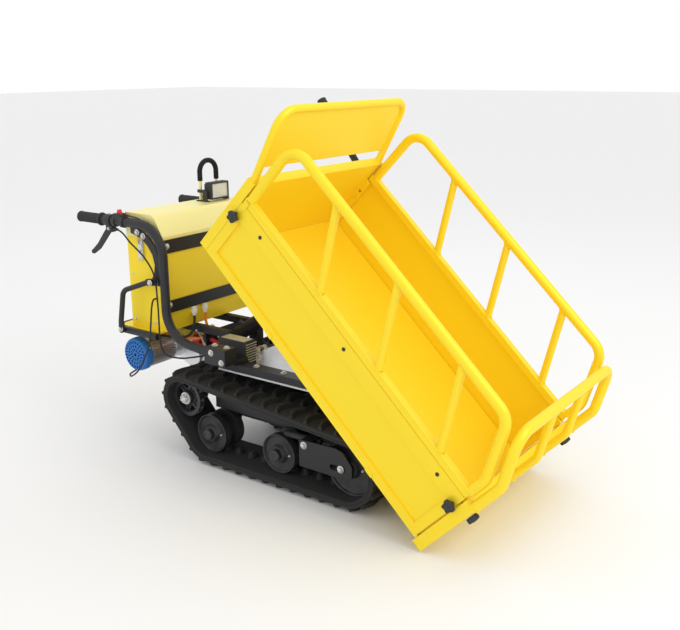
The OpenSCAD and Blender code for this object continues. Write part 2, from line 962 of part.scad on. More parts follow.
// Guard above the rear wall: a plate in a bent tube
module headboard() {
    color("#f5c400")
    standing()
        tray_place()
            translate([-18, 0, rear_h])
                rotate([0, -head_lean, 0]) {
                    difference() {
                        bent([[0, 334, -6], [0, 334, 240], [0, -334, 240], [0, -334, -6]], 25, 60);
                        rotate([0, head_lean, 0])
                            block([-50, -360, -50], [50, 360, 0]);
                    }
                    translate([-2, -326, 46])
                        difference() {
                            cube([4, 652, 190]);
                            for (s = [0, 1])
                                translate([0, s * 652, 190])
                                    rotate([45, 0, 0])
                                        cube([20, 62, 62], center = true);
                        }
                }
}

// Pull handle behind the tray, with its grip
module tipping_handle() {
    dir = [-0.983, 0, 0.184];
    foot = [-12, 300, 240];
    color("#151516")
    standing()
        tray_place() {
            block([-12, 280, 215], [-4, 320, 265]);
            rod(foot, foot + 310 * dir, 25);
            rod(foot + 200 * dir, foot + 322 * dir, 36);
        }
}

// Drop side: bordered panel with a sunk field, hinged along its lower edge
module side_wall(s) {
    in = side_y - wall_t;
    color("#f5c400")
    standing()
        tray_place()
            side(s)
                difference() {
                    block([1, in, 0.5], [tray_l - 5, side_y, wall_h]);
                    block([34, side_y - 7, 30], [tray_l - 36, side_y + 1, wall_h - 50]);
                    rod([0, fold_y, fold_z], [16, fold_y, fold_z], 8 + 2 * fit);
                    rod([tray_l - 18, fold_y, fold_z], [tray_l, fold_y, fold_z], 8 + 2 * fit);
                    for (x = [knob_rear_x - 11, knob_front_x])
                        rod([x, in - 1, knob_z], [x, side_y + 1, knob_z], 12);
                }
}

// Rail on each drop side: a bent tube with three struts on a square sill
module side_hoop(s) {
    top = hoop_h;
    z = wall_h + sill_h;
    color("#f5c400")
    standing()
        tray_place()
            side(s) {
                block([2, side_y - 26, wall_h], [tray_l - 6, side_y - 1, z]);
                bent([[18, hoop_y, z - 4], [18, hoop_y, top], [985, hoop_y, top],
                    [1076, hoop_y, 318], [1076, hoop_y, z - 4]], hoop_d, 62);
                for (k = [0 : 2])
                    rod([232 + 284 * k, hoop_y, top], [372 + 284 * k, hoop_y, z - 8], strut_d);
            }
}

module gate() {
    color("#f5c400")
    standing()
        tray_place()
            difference() {
                union() {
                    difference() {
                        block([gate_x, -side_y, gate_low], [gate_x + gate_t, side_y, wall_h]);
                        block([gate_x + 3, -side_y + 3, gate_low + 3],
                            [gate_x + gate_t + 1, side_y - 3, wall_h - 3]);
                    }
                    both_sides() {
                        block([gate_x, side_y - 48, 155], [gate_x + gate_t, side_y - 45, wall_h]);
                        block([gate_x, side_y - 48, 155], [gate_x + gate_t, side_y, 158]);
                        block([gate_x + gate_t - 3, side_y - 48, 155],
                            [gate_x + gate_t, side_y, wall_h]);
                        for (y = [gate_lug_y - 26, gate_lug_y + 16])
                            block([gate_x, y, gate_low], [gate_x + 13, y + 10, 0]);
                    }
                }
                both_sides() {
                    block([gate_x - 1, gate_lug_y - 16, gate_low - 1],
                        [gate_x + 16, gate_lug_y + 16, 2]);
                    y_bar([gate_axis[0], gate_axis[2]], gate_lug_y - 27, 54, 4 + fit);
                    rod([gate_x - 1, gate_knob_y, gate_knob_z],
                        [gate_x + gate_t + 1, gate_knob_y, gate_knob_z], 12);
                }
            }
}

module gate_hoop() {
    x = gate_x + 28;
    top_x = x - 78;
    color("#f5c400")
    standing()
        tray_place()
            difference() {
                union() {
                    bent([[x, gate_foot_y, wall_h - 8], [x, gate_foot_y, 340],
                        [top_x, gate_foot_y, hoop_h - 8], [top_x, -gate_foot_y, hoop_h - 8],
                        [x, -gate_foot_y, 340], [x, -gate_foot_y, wall_h - 8]], hoop_d, 58);
                    for (y = [-107, 107])
                        bent([[x, y, wall_h - 8], [x, y, 340], [top_x, y, hoop_h - 8]],
                            strut_d, 40);
                }
                block([x - 60, -400, wall_h - 20], [x + 60, 400, wall_h]);
            }
}

// Clamping knob: a lobed head on a stud that reaches into the corner post; it points along +Z
module star_knob(stud) {
    difference() {
        union() {
            cylinder(h = 4, r = 10);
            translate([0, 0, 4])
                linear_extrude(16)
                    polygon([for (a = [0 : 8 : 352]) (17.5 + 2.5 * cos(5 * a)) * ray(a)]);
            translate([0, 0, -stud])
                cylinder(h = stud + 0.5, r = 4);
        }
        translate([0, 0, 17])
            cylinder(h = 4, r = 9);
    }
}

module side_knob(x, s) {
    color("#131315")
    standing()
        tray_place()
            side(s)
                translate([x, side_y + 0.3, knob_z])
                    rotate([-90, 0, 0])
                        star_knob(22);
}

module gate_knob(s) {
    color("#131315")
    standing()
        tray_place()
            side(s)
                translate([gate_x + gate_t + 0.3, gate_knob_y, gate_knob_z])
                    rotate([0, 90, 0])
                        star_knob(gate_t + 10);
}

module frame_bolts() {
    color("#c4c6c8") standing() {
        both_sides() {
            for (z = [534, 750])
                translate([box_front + 6, box_w / 2 - 22, z])
                    rotate([0, 90, 0])
                        cylinder(h = 6, r = 7, $fn = 6);
            for (x = [-410, -160, 60])
                translate([x, 120, deck_top])
                    cylinder(h = 5, r = 9, $fn = 6);
        }
    }
}

chassis_frame();
deck_plate();
controller_box();
track_frames();
track_belt(1);  // track_belt_left
track_belt(-1);  // track_belt_right
tensioner_plates();
wheel_axles();
handlebar(1);  // handlebar_left
handlebar(-1);  // handlebar_right
hand_grips();
lever_perches();
control_cables();
battery_box();
battery_pack();
console_bands();
toggle_latches();
platform();
brace_links();
motor_body();
fan_cover();
gearbox();
parking_brake();
wiring();
cable_glands();
frame_bolts();
sprocket(1);  // sprocket_left
sprocket(-1);  // sprocket_right
idler(1);  // idler_left
idler(-1);  // idler_right
road_wheel(wheel_front_c, 1);  // road_wheel_front_left
road_wheel(wheel_front_c, -1);  // road_wheel_front_right
road_wheel(wheel_rear_c, 1);  // road_wheel_rear_left
road_wheel(wheel_rear_c, -1);  // road_wheel_rear_right
motor_rotor();
brake_lever(1);  // brake_lever_left
brake_lever(-1);  // brake_lever_right
thumb_switch(-1);  // throttle_trigger
thumb_switch(1);  // direction_switch
battery_lid();
lamp_bracket();
lamp_head();
lift_barrel();
lift_rod();
tray_floor();
tray_rear_wall();
headboard();
tipping_handle();
side_wall(1);  // side_wall_left
side_wall(-1);  // side_wall_right
side_hoop(1);  // side_hoop_left
side_hoop(-1);  // side_hoop_right
gate();
gate_hoop();
side_knob(knob_rear_x - 11, 1);  // knob_rear_left
side_knob(knob_rear_x - 11, -1);  // knob_rear_right
side_knob(knob_front_x, 1);  // knob_front_left
side_knob(knob_front_x, -1);  // knob_front_right
gate_knob(1);  // knob_gate_left
gate_knob(-1);  // knob_gate_right
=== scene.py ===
"""Looks of the tracked power wheelbarrow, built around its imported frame."""

import math
import bmesh
import bpy
from bpy.props import FloatProperty, FloatVectorProperty, IntProperty, PointerProperty
from mathutils import Matrix, Vector
from mathutils.geometry import tessellate_polygon


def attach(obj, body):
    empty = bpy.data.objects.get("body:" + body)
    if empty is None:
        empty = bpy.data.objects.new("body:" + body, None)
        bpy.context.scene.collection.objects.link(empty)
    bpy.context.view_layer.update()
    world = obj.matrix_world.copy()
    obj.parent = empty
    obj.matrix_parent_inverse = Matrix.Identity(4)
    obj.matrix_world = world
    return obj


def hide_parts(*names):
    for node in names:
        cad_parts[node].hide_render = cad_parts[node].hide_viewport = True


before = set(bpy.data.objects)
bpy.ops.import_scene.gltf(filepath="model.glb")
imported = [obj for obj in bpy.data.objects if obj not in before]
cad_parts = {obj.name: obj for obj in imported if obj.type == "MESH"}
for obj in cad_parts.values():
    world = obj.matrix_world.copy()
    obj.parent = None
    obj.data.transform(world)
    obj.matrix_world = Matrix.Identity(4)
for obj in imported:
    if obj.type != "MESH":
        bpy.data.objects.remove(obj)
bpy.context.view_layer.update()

bl_info = {
    "name": "Tracked power wheelbarrow",
    "version": (1, 0, 0),
    "blender": (4, 5, 0),
    "location": "3D View > Sidebar > Barrow",
    "description": "Builds the visible pieces and finishes of a tracked power wheelbarrow",
    "category": "Object",
}

# ---------- places: the machine's own axes, and the tray's, in millimetres ----------

MM = 0.001
CENTRE_X = 133
TIP = math.radians(44)
TRAY = (
    Matrix.Translation((22, 0, 403))
    @ Matrix.Rotation(TIP, 4, "Y")
    @ Matrix.Translation((-520, 0, 45))
)
MACHINE = Matrix.Identity(4)
SIDES = (("left", 1), ("right", -1))


def at(p, place=MACHINE):
    """A point in a place's millimetres, as a point in the frame's metres."""
    q = place @ Vector(p)
    return Vector((q.x + CENTRE_X, q.y, q.z)) * MM


def mirrored(p, side):
    return Vector((p[0], p[1] * side, p[2]))


# ---------- settings ----------


class SizeSettings(bpy.types.PropertyGroup):
    """Sizes that a user may change without touching the frame"""

    lug_height: FloatProperty(
        name="Lug height",
        description="Height of the tread lugs",
        default=0.0165,
        subtype="DISTANCE",
        unit="LENGTH",
    )
    lug_count: IntProperty(
        name="Lugs", description="Tread lugs in one row of a belt", default=37
    )
    rail_radius: FloatProperty(
        name="Rail radius",
        description="Radius of the side and gate rails",
        default=0.016,
        subtype="DISTANCE",
        unit="LENGTH",
    )
    strut_radius: FloatProperty(
        name="Strut radius",
        description="Radius of the rail struts",
        default=0.0125,
        subtype="DISTANCE",
        unit="LENGTH",
    )
    casting_edge: FloatProperty(
        name="Casting edge",
        description="Rounding of castings and plates",
        default=0.0022,
        subtype="DISTANCE",
        unit="LENGTH",
    )
    grip_ribs: IntProperty(
        name="Grip ribs", description="Ribs on one hand grip", default=15
    )
    bead_spacing: FloatProperty(
        name="Bead spacing",
        description="Distance between the ripples of a weld bead",
        default=0.0034,
        subtype="DISTANCE",
        unit="LENGTH",
    )


def colour_property(name, text, value):
    return FloatVectorProperty(
        name=name, description=text, subtype="COLOR", size=3, default=value
    )


class FinishSettings(bpy.types.PropertyGroup):
    """Colours of the finishes"""

    yellow: colour_property("Yellow", "Sheet metal paint", (0.64, 0.43, 0.001))
    cover: colour_property("Cover", "Paint of the battery cover", (0.68, 0.49, 0.006))
    black: colour_property("Black", "Powder coat", (0.011, 0.011, 0.013))
    rubber: colour_property("Rubber", "Belt rubber", (0.010, 0.010, 0.012))
    blue: colour_property("Blue", "Fan cover plastic", (0.003, 0.016, 0.15))
    red: colour_property("Red", "Brake and switches", (0.56, 0.008, 0.01))
    orange: colour_property("Orange", "Cable sheath", (0.88, 0.10, 0.006))
    aluminium: colour_property("Aluminium", "Castings", (0.60, 0.60, 0.61))


# ---------- meshes ----------


class Shape:
    """Gathers closed parts of one piece, in the frame's metres"""

    def __init__(self):
        self.points, self.faces = [], []

    def add(self, points, faces):
        base = len(self.points)
        self.points += [Vector(p) for p in points]
        self.faces += [tuple(base + i for i in f) for f in faces]
        return self

    def join(self, other):
        return self.add(other.points, other.faces)

    def prism(self, outline, low, high, axes="xz", place=MACHINE, side=1):
        """An outline in two axes, drawn out along the third from low to high."""
        order = {"xz": (0, 2, 1), "xy": (0, 1, 2), "yz": (1, 2, 0)}[axes]
        points = []
        for w in (low, high):
            for u, v in outline:
                p = [0, 0, 0]
                p[order[0]], p[order[1]], p[order[2]] = u, v, w
                points.append(at(mirrored(p, side), place))
        n = len(outline)
        faces = [tuple(range(n)), tuple(range(2 * n - 1, n - 1, -1))]
        faces += [(i, i + n, (i + 1) % n + n, (i + 1) % n) for i in range(n)]
        return self.add(points, faces)

    def block(self, low, high, place=MACHINE, side=1):
        outline = [(low[0], low[1]), (high[0], low[1]), (high[0], high[1]), (low[0], high[1])]
        return self.prism(outline, low[2], high[2], "xy", place, side)

    def lathe(self, profile, start, axis, steps=40, place=MACHINE, side=1):
        """A closed turned part: profile is (distance along the axis, radius) from end to end."""
        origin = at(mirrored(start, side), place)
        way = (at(mirrored(Vector(start) + Vector(axis), side), place) - origin).normalized()
        u = way.orthogonal().normalized()
        v = way.cross(u)
        rings, points, faces = [], [], []
        for a, r in profile:
            centre = origin + way * a * MM
            if r <= 0:
                rings.append([len(points)])
                points.append(centre)
                continue
            rings.append(range(len(points), len(points) + steps))
            for k in range(steps):
                t = 2 * math.pi * k / steps
                points.append(centre + (u * math.cos(t) + v * math.sin(t)) * r * MM)
        hollow = len(rings[0]) > 1
        pairs = list(zip(rings, rings[1:] + [rings[0]] if hollow else rings[1:]))
        for a, b in pairs:
            for k in range(steps):
                j = (k + 1) % steps
                if len(a) == 1:
                    faces.append((a[0], b[j], b[k]))
                elif len(b) == 1:
                    faces.append((a[k], a[j], b[0]))
                else:
                    faces.append((a[k], a[j], b[j], b[k]))
        return self.add(points, faces)

    def tube(self, path, radius, sides=20, closed=False, place=MACHINE, side=1, scale=None):
        """A round tube along a path of points; its ends are closed."""
        line = [at(mirrored(p, side), place) for p in path]
        return self.tube_along(line, radius * MM, sides, closed, scale)

    def tube_along(self, line, radius, sides=20, closed=False, scale=None):
        n = len(line)
        points, faces, u = [], [], None
        for i, p in enumerate(line):
            back = line[(i - 1) % n] if closed or i else p
            ahead = line[(i + 1) % n] if closed or i < n - 1 else p
            way = (ahead - back).normalized()
            u = way.orthogonal().normalized() if u is None else (u - way * u.dot(way)).normalized()
            v = way.cross(u)
            r = radius * (scale(i / (n - 1)) if scale else 1)
            for k in range(sides):
                t = 2 * math.pi * k / sides
                points.append(p + (u * math.cos(t) + v * math.sin(t)) * r)
        for i in range(n if closed else n - 1):
            a, b = i * sides, (i + 1) % n * sides
            for k in range(sides):
                j = (k + 1) % sides
                faces.append((a + k, a + j, b + j, b + k))
        if not closed:
            faces.append(tuple(range(sides - 1, -1, -1)))
            faces.append(tuple(range((n - 1) * sides, n * sides)))
        return self.add(points, faces)


def rounded(points, radius, steps=10):
    """A path whose inner corners are turned at a radius."""
    points = [Vector(p) for p in points]
    out = [points[0]]
    for a, b, c in zip(points, points[1:], points[2:]):
        u, w = (a - b).normalized(), (c - b).normalized()
        half = u.angle(w) / 2
        reach = min(radius / math.tan(half), 0.48 * (a - b).length, 0.48 * (c - b).length)
        r = reach * math.tan(half)
        centre = b + (u + w).normalized() * (r / math.sin(half))
        start, end = b + u * reach - centre, b + w * reach - centre
        turn = start.angle(end)
        for k in range(steps + 1):
            t = k / steps
            out.append(
                centre
                + (start * math.sin((1 - t) * turn) + end * math.sin(t * turn)) / math.sin(turn)
            )
    out.append(points[-1])
    return out


def smooth_route(points, steps=8):
    """A smooth curve through a cable's points."""
    pts = [Vector(p) for p in points]
    out = []
    for i in range(len(pts) - 1):
        a, b, c, d = pts[max(i - 1, 0)], pts[i], pts[i + 1], pts[min(i + 2, len(pts) - 1)]
        for k in range(steps):
            t = k / steps
            out.append(
                0.5
                * (
                    2 * b
                    + (c - a) * t
                    + (2 * a - 5 * b + 4 * c - d) * t * t
                    + (3 * b - a - 3 * c + d) * t * t * t
                )
            )
    return out + [pts[-1]]


def ring(centre, axis, radius, steps=24):
    """Points of a circle about an axis."""
    way = Vector(axis).normalized()
    u = way.orthogonal().normalized()
    v = way.cross(u)
    return [
        Vector(centre) + (u * math.cos(t) + v * math.sin(t)) * radius
        for t in (2 * math.pi * k / steps for k in range(steps))
    ]


def shade(mesh, angle=34):
    for p in mesh.polygons:
        p.use_smooth = True
    mesh.set_sharp_from_angle(angle=math.radians(angle))


def evaluated(obj):
    """Turns an object's modifiers into its mesh."""
    bpy.context.view_layer.update()
    mesh = bpy.data.meshes.new_from_object(obj.evaluated_get(bpy.context.evaluated_depsgraph_get()))
    obj.modifiers.clear()
    obj.data = mesh
    return obj


def round_edges(obj, width, segments=2, angle=34):
    """Rounds an object's sharp edges."""
    bevel = obj.modifiers.new("Rounding", "BEVEL")
    bevel.width, bevel.segments = width, segments
    bevel.limit_method, bevel.angle_limit = "ANGLE", math.radians(angle)
    bevel.use_clamp_overlap, bevel.harden_normals = True, True
    shade(obj.data, angle)
    evaluated(obj)
    return obj


def new_object(name, mesh, materials):
    obj = bpy.data.objects.new(name, mesh)
    bpy.context.scene.collection.objects.link(obj)
    for m in materials:
        obj.data.materials.append(m)
    return obj


def hand_in(obj, body, replaces=()):
    """Puts a finished piece on its body."""
    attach(obj, body)
    if replaces:
        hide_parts(*replaces)
    return obj


def piece(name, shape, material, body, replaces=(), edge=0.0, segments=2, angle=34):
    """A piece made from a Shape, its faces turned outwards and its edges rounded."""
    mesh = bpy.data.meshes.new(name)
    mesh.from_pydata([tuple(p) for p in shape.points], [], shape.faces)
    bm = bmesh.new()
    bm.from_mesh(mesh)
    bmesh.ops.remove_doubles(bm, verts=bm.verts, dist=1e-7)
    bmesh.ops.recalc_face_normals(bm, faces=bm.faces)
    bm.to_mesh(mesh)
    bm.free()
    obj = new_object(name, mesh, [material])
    if edge:
        round_edges(obj, edge, segments, angle)
    else:
        shade(obj.data, angle)
    return hand_in(obj, body, replaces)


def softened(nodes, name, material, body, edge, segments=2):
    """CAD nodes copied as one piece, with their flat faces joined and their edges rounded."""
    bm = bmesh.new()
    for n in nodes:
        bm.from_mesh(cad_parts[n].data)
    bmesh.ops.remove_doubles(bm, verts=bm.verts, dist=2e-6)
    bmesh.ops.dissolve_limit(
        bm, angle_limit=math.radians(0.6), verts=bm.verts, edges=bm.edges, use_dissolve_boundaries=False
    )
    mesh = bpy.data.meshes.new(name)
    bm.to_mesh(mesh)
    bm.free()
    mesh.materials.clear()
    obj = new_object(name, mesh, [material])
    for p in mesh.polygons:
        p.material_index = 0
    round_edges(obj, edge, segments)
    return hand_in(obj, body, nodes)


# ---------- geometry nodes ----------


def link(tree, a, out, b, into):
    tree.links.new(a.outputs[out], b.inputs[into])


def tree_with(name, inputs):
    tree = bpy.data.node_groups.new(name, "GeometryNodeTree")
    tree.interface.new_socket("Geometry", in_out="INPUT", socket_type="NodeSocketGeometry")
    for label, kind in inputs:
        tree.interface.new_socket(label, in_out="INPUT", socket_type="NodeSocket" + kind)
    tree.interface.new_socket("Geometry", in_out="OUTPUT", socket_type="NodeSocketGeometry")
    return tree, tree.nodes.new("NodeGroupInput"), tree.nodes.new("NodeGroupOutput")


def finish_tree(tree, source, end, instances):
    """Realized instances with the material set."""
    real = tree.nodes.new("GeometryNodeRealizeInstances")
    paint = tree.nodes.new("GeometryNodeSetMaterial")
    link(tree, instances, "Instances", real, "Geometry")
    link(tree, real, "Geometry", paint, "Geometry")
    link(tree, source, "Material", paint, "Material")
    link(tree, paint, "Geometry", end, "Geometry")


def named_vector(tree, name):
    node = tree.nodes.new("GeometryNodeInputNamedAttribute")
    node.data_type = "FLOAT_VECTOR"
    node.inputs["Name"].default_value = name
    return node


def copies_tree():
    """Copies a shape to each point: its Z along "out", its X along "along"."""
    tree, source, end = tree_with(
        "Copies at points", [("Shape", "Object"), ("Size", "Float"), ("Material", "Material")]
    )
    info = tree.nodes.new("GeometryNodeObjectInfo")
    turn = tree.nodes.new("FunctionNodeAxesToRotation")
    turn.primary_axis, turn.secondary_axis = "Z", "X"
    copies = tree.nodes.new("GeometryNodeInstanceOnPoints")
    link(tree, source, "Shape", info, "Object")
    link(tree, named_vector(tree, "out"), "Attribute", turn, "Primary Axis")
    link(tree, named_vector(tree, "along"), "Attribute", turn, "Secondary Axis")
    link(tree, source, "Geometry", copies, "Points")
    link(tree, info, "Geometry", copies, "Instance")
    link(tree, turn, "Rotation", copies, "Rotation")
    link(tree, source, "Size", copies, "Scale")
    finish_tree(tree, source, end, copies)
    return tree


def beads_tree():
    """Sets overlapping beads along the paths, each of a slightly different size."""
    tree, source, end = tree_with(
        "Beads along paths", [("Spacing", "Float"), ("Radius", "Float"), ("Material", "Material")]
    )
    curve = tree.nodes.new("GeometryNodeMeshToCurve")
    even = tree.nodes.new("GeometryNodeResampleCurve")
    even.mode = "LENGTH"
    ball = tree.nodes.new("GeometryNodeMeshIcoSphere")
    ball.inputs["Subdivisions"].default_value = 2
    smooth = tree.nodes.new("GeometryNodeSetShadeSmooth")
    copies = tree.nodes.new("GeometryNodeInstanceOnPoints")
    size = tree.nodes.new("FunctionNodeRandomValue")
    size.inputs[2].default_value, size.inputs[3].default_value = 0.82, 1.12
    size.inputs["Seed"].default_value = 7
    link(tree, source, "Geometry", curve, "Mesh")
    link(tree, curve, "Curve", even, "Curve")
    link(tree, source, "Spacing", even, "Length")
    link(tree, source, "Radius", ball, "Radius")
    link(tree, ball, "Mesh", smooth, "Geometry")
    link(tree, even, "Curve", copies, "Points")
    link(tree, smooth, "Geometry", copies, "Instance")
    tree.links.new(size.outputs[1], copies.inputs["Scale"])
    finish_tree(tree, source, end, copies)
    return tree


def run_tree(obj, tree, values):
    """Runs a tree on an object and keeps its result as a plain mesh."""
    modifier = obj.modifiers.new(tree.name, "NODES")
    modifier.node_group = tree
    sockets = {s.name: s.identifier for s in tree.interface.items_tree if s.in_out == "INPUT"}
    for name, value in values.items():
        modifier[sockets[name]] = value
    return evaluated(obj)


def kept_tree(make):
    name = {"copies_tree": "Copies at points", "beads_tree": "Beads along paths"}[make.__name__]
    return bpy.data.node_groups.get(name) or make()


def repeat(name, shape, places, material, body, replaces=(), edge=0.0, angle=34):
    """Copies a shape, in metres about its own origin, to places of (point, out, along)."""
    mesh = bpy.data.meshes.new(name)
    mesh.from_pydata([tuple(p) for p, _, _ in places], [], [])
    for label, index in (("out", 1), ("along", 2)):
        layer = mesh.attributes.new(label, "FLOAT_VECTOR", "POINT")
        layer.data.foreach_set("vector", [c for row in places for c in row[index]])
    obj = new_object(name, mesh, [])
    master_mesh = bpy.data.meshes.new(name + "_shape")
    master_mesh.from_pydata([tuple(p) for p in shape.points], [], shape.faces)
    bm = bmesh.new()
    bm.from_mesh(master_mesh)
    bmesh.ops.recalc_face_normals(bm, faces=bm.faces)
    bm.to_mesh(master_mesh)
    bm.free()
    master = new_object(name + "_shape", master_mesh, [])
    if edge:
        round_edges(master, edge, 1, angle)
    shade(master.data, angle)
    run_tree(obj, kept_tree(copies_tree), {"Shape": master, "Size": 1.0, "Material": material})
    bpy.data.objects.remove(master)
    return hand_in(obj, body, replaces)


def welds(name, loops, material, body, radius=0.0026):
    """Weld beads along closed or open paths, given in metres."""
    points, edges = [], []
    for loop, closed in loops:
        base, n = len(points), len(loop)
        points += [tuple(p) for p in loop]
        edges += [(base + i, base + i + 1) for i in range(n - 1)]
        if closed:
            edges.append((base + n - 1, base))
    mesh = bpy.data.meshes.new(name)
    mesh.from_pydata(points, edges, [])
    obj = new_object(name, mesh, [])
    spacing = bpy.context.scene.barrow_sizes.bead_spacing
    run_tree(
        obj,
        kept_tree(beads_tree),
        {"Spacing": spacing, "Radius": radius, "Material": material},
    )
    return hand_in(obj, body)


# ---------- finishes ----------

NOISE, RAMP, MIX = "ShaderNodeTexNoise", "ShaderNodeMapRange", "ShaderNodeMix"


class Finish:
    """Builds one procedural material on Object coordinates"""

    def __init__(self, name, colour, roughness, metallic=0.0, coat=0.0, specular=0.5):
        self.material = bpy.data.materials.new(name)
        self.material.use_nodes = True
        self.tree = self.material.node_tree
        self.surface = self.tree.nodes["Principled BSDF"]
        self.colour, self.roughness = colour, roughness
        s = self.surface.inputs
        s["Base Color"].default_value = (*colour, 1)
        s["Roughness"].default_value = roughness
        s["Metallic"].default_value = metallic
        s["Specular IOR Level"].default_value = specular
        s["Coat Weight"].default_value = coat
        s["Coat Roughness"].default_value = 0.12
        self.place = self.tree.nodes.new("ShaderNodeTexCoord")
        self.height = None
        self.material.diffuse_color = (*colour, 1)

    def noise(self, scale, detail=4.0, stretch=None, distortion=0.0):
        node = self.tree.nodes.new(NOISE)
        node.inputs["Scale"].default_value = scale
        node.inputs["Detail"].default_value = detail
        node.inputs["Distortion"].default_value = distortion
        if stretch:
            turn = self.tree.nodes.new("ShaderNodeMapping")
            turn.inputs["Scale"].default_value = stretch
            link(self.tree, self.place, "Object", turn, "Vector")
            link(self.tree, turn, "Vector", node, "Vector")
        else:
            link(self.tree, self.place, "Object", node, "Vector")
        return node.outputs[0]

    def spread(self, value, low, high, start=0.3, end=0.7):
        node = self.tree.nodes.new(RAMP)
        for label, number in (("From Min", start), ("From Max", end), ("To Min", low), ("To Max", high)):
            node.inputs[label].default_value = number
        self.tree.links.new(value, node.inputs["Value"])
        return node.outputs["Result"]

    def tint(self, factor, other):
        """Blends the colour so far with another one."""
        node = self.tree.nodes.new(MIX)
        node.data_type = "RGBA"
        into = self.surface.inputs["Base Color"]
        if into.links:
            self.tree.links.new(into.links[0].from_socket, node.inputs[6])
        else:
            node.inputs[6].default_value = (*self.colour, 1)
        node.inputs[7].default_value = (*other, 1)
        self.tree.links.new(factor, node.inputs[0])
        self.tree.links.new(node.outputs[2], into)
        return self

    def mottled(self, scale, amount, factor=0.8):
        """Uneven depth of colour."""
        other = tuple(c * factor for c in self.colour)
        return self.tint(self.spread(self.noise(scale, 5), 0, amount), other)

    def gloss(self, scale, amount, stretch=None):
        """Uneven roughness."""
        value = self.spread(
            self.noise(scale, 5, stretch), self.roughness - amount, self.roughness + amount
        )
        self.tree.links.new(value, self.surface.inputs["Roughness"])
        return self

    def bumps(self, scale, strength, distance=0.0004, detail=3.0, stretch=None, cells=False):
        """Adds relief."""
        bump = self.tree.nodes.new("ShaderNodeBump")
        bump.inputs["Strength"].default_value = strength
        bump.inputs["Distance"].default_value = distance
        if cells:
            node = self.tree.nodes.new("ShaderNodeTexVoronoi")
            node.inputs["Scale"].default_value = scale
            link(self.tree, self.place, "Object", node, "Vector")
            value = node.outputs["Distance"]
        else:
            value = self.noise(scale, detail, stretch)
        self.tree.links.new(value, bump.inputs["Height"])
        if self.height:
            self.tree.links.new(self.height, bump.inputs["Normal"])
        self.height = bump.outputs["Normal"]
        self.tree.links.new(self.height, self.surface.inputs["Normal"])
        return self

    def dusty(self, colour, top, amount):
        """Dust that thins out with height above the ground."""
        split = self.tree.nodes.new("ShaderNodeSeparateXYZ")
        link(self.tree, self.place, "Object", split, "Vector")
        low = self.spread(split.outputs["Z"], amount, 0.0, 0.0, top)
        times = self.tree.nodes.new("ShaderNodeMath")
        times.operation = "MULTIPLY"
        self.tree.links.new(low, times.inputs[0])
        self.tree.links.new(self.spread(self.noise(38, 6), 0, 1, 0.42, 0.62), times.inputs[1])
        return self.tint(times.outputs[0], colour)


def finish(name):
    return bpy.data.materials[name]


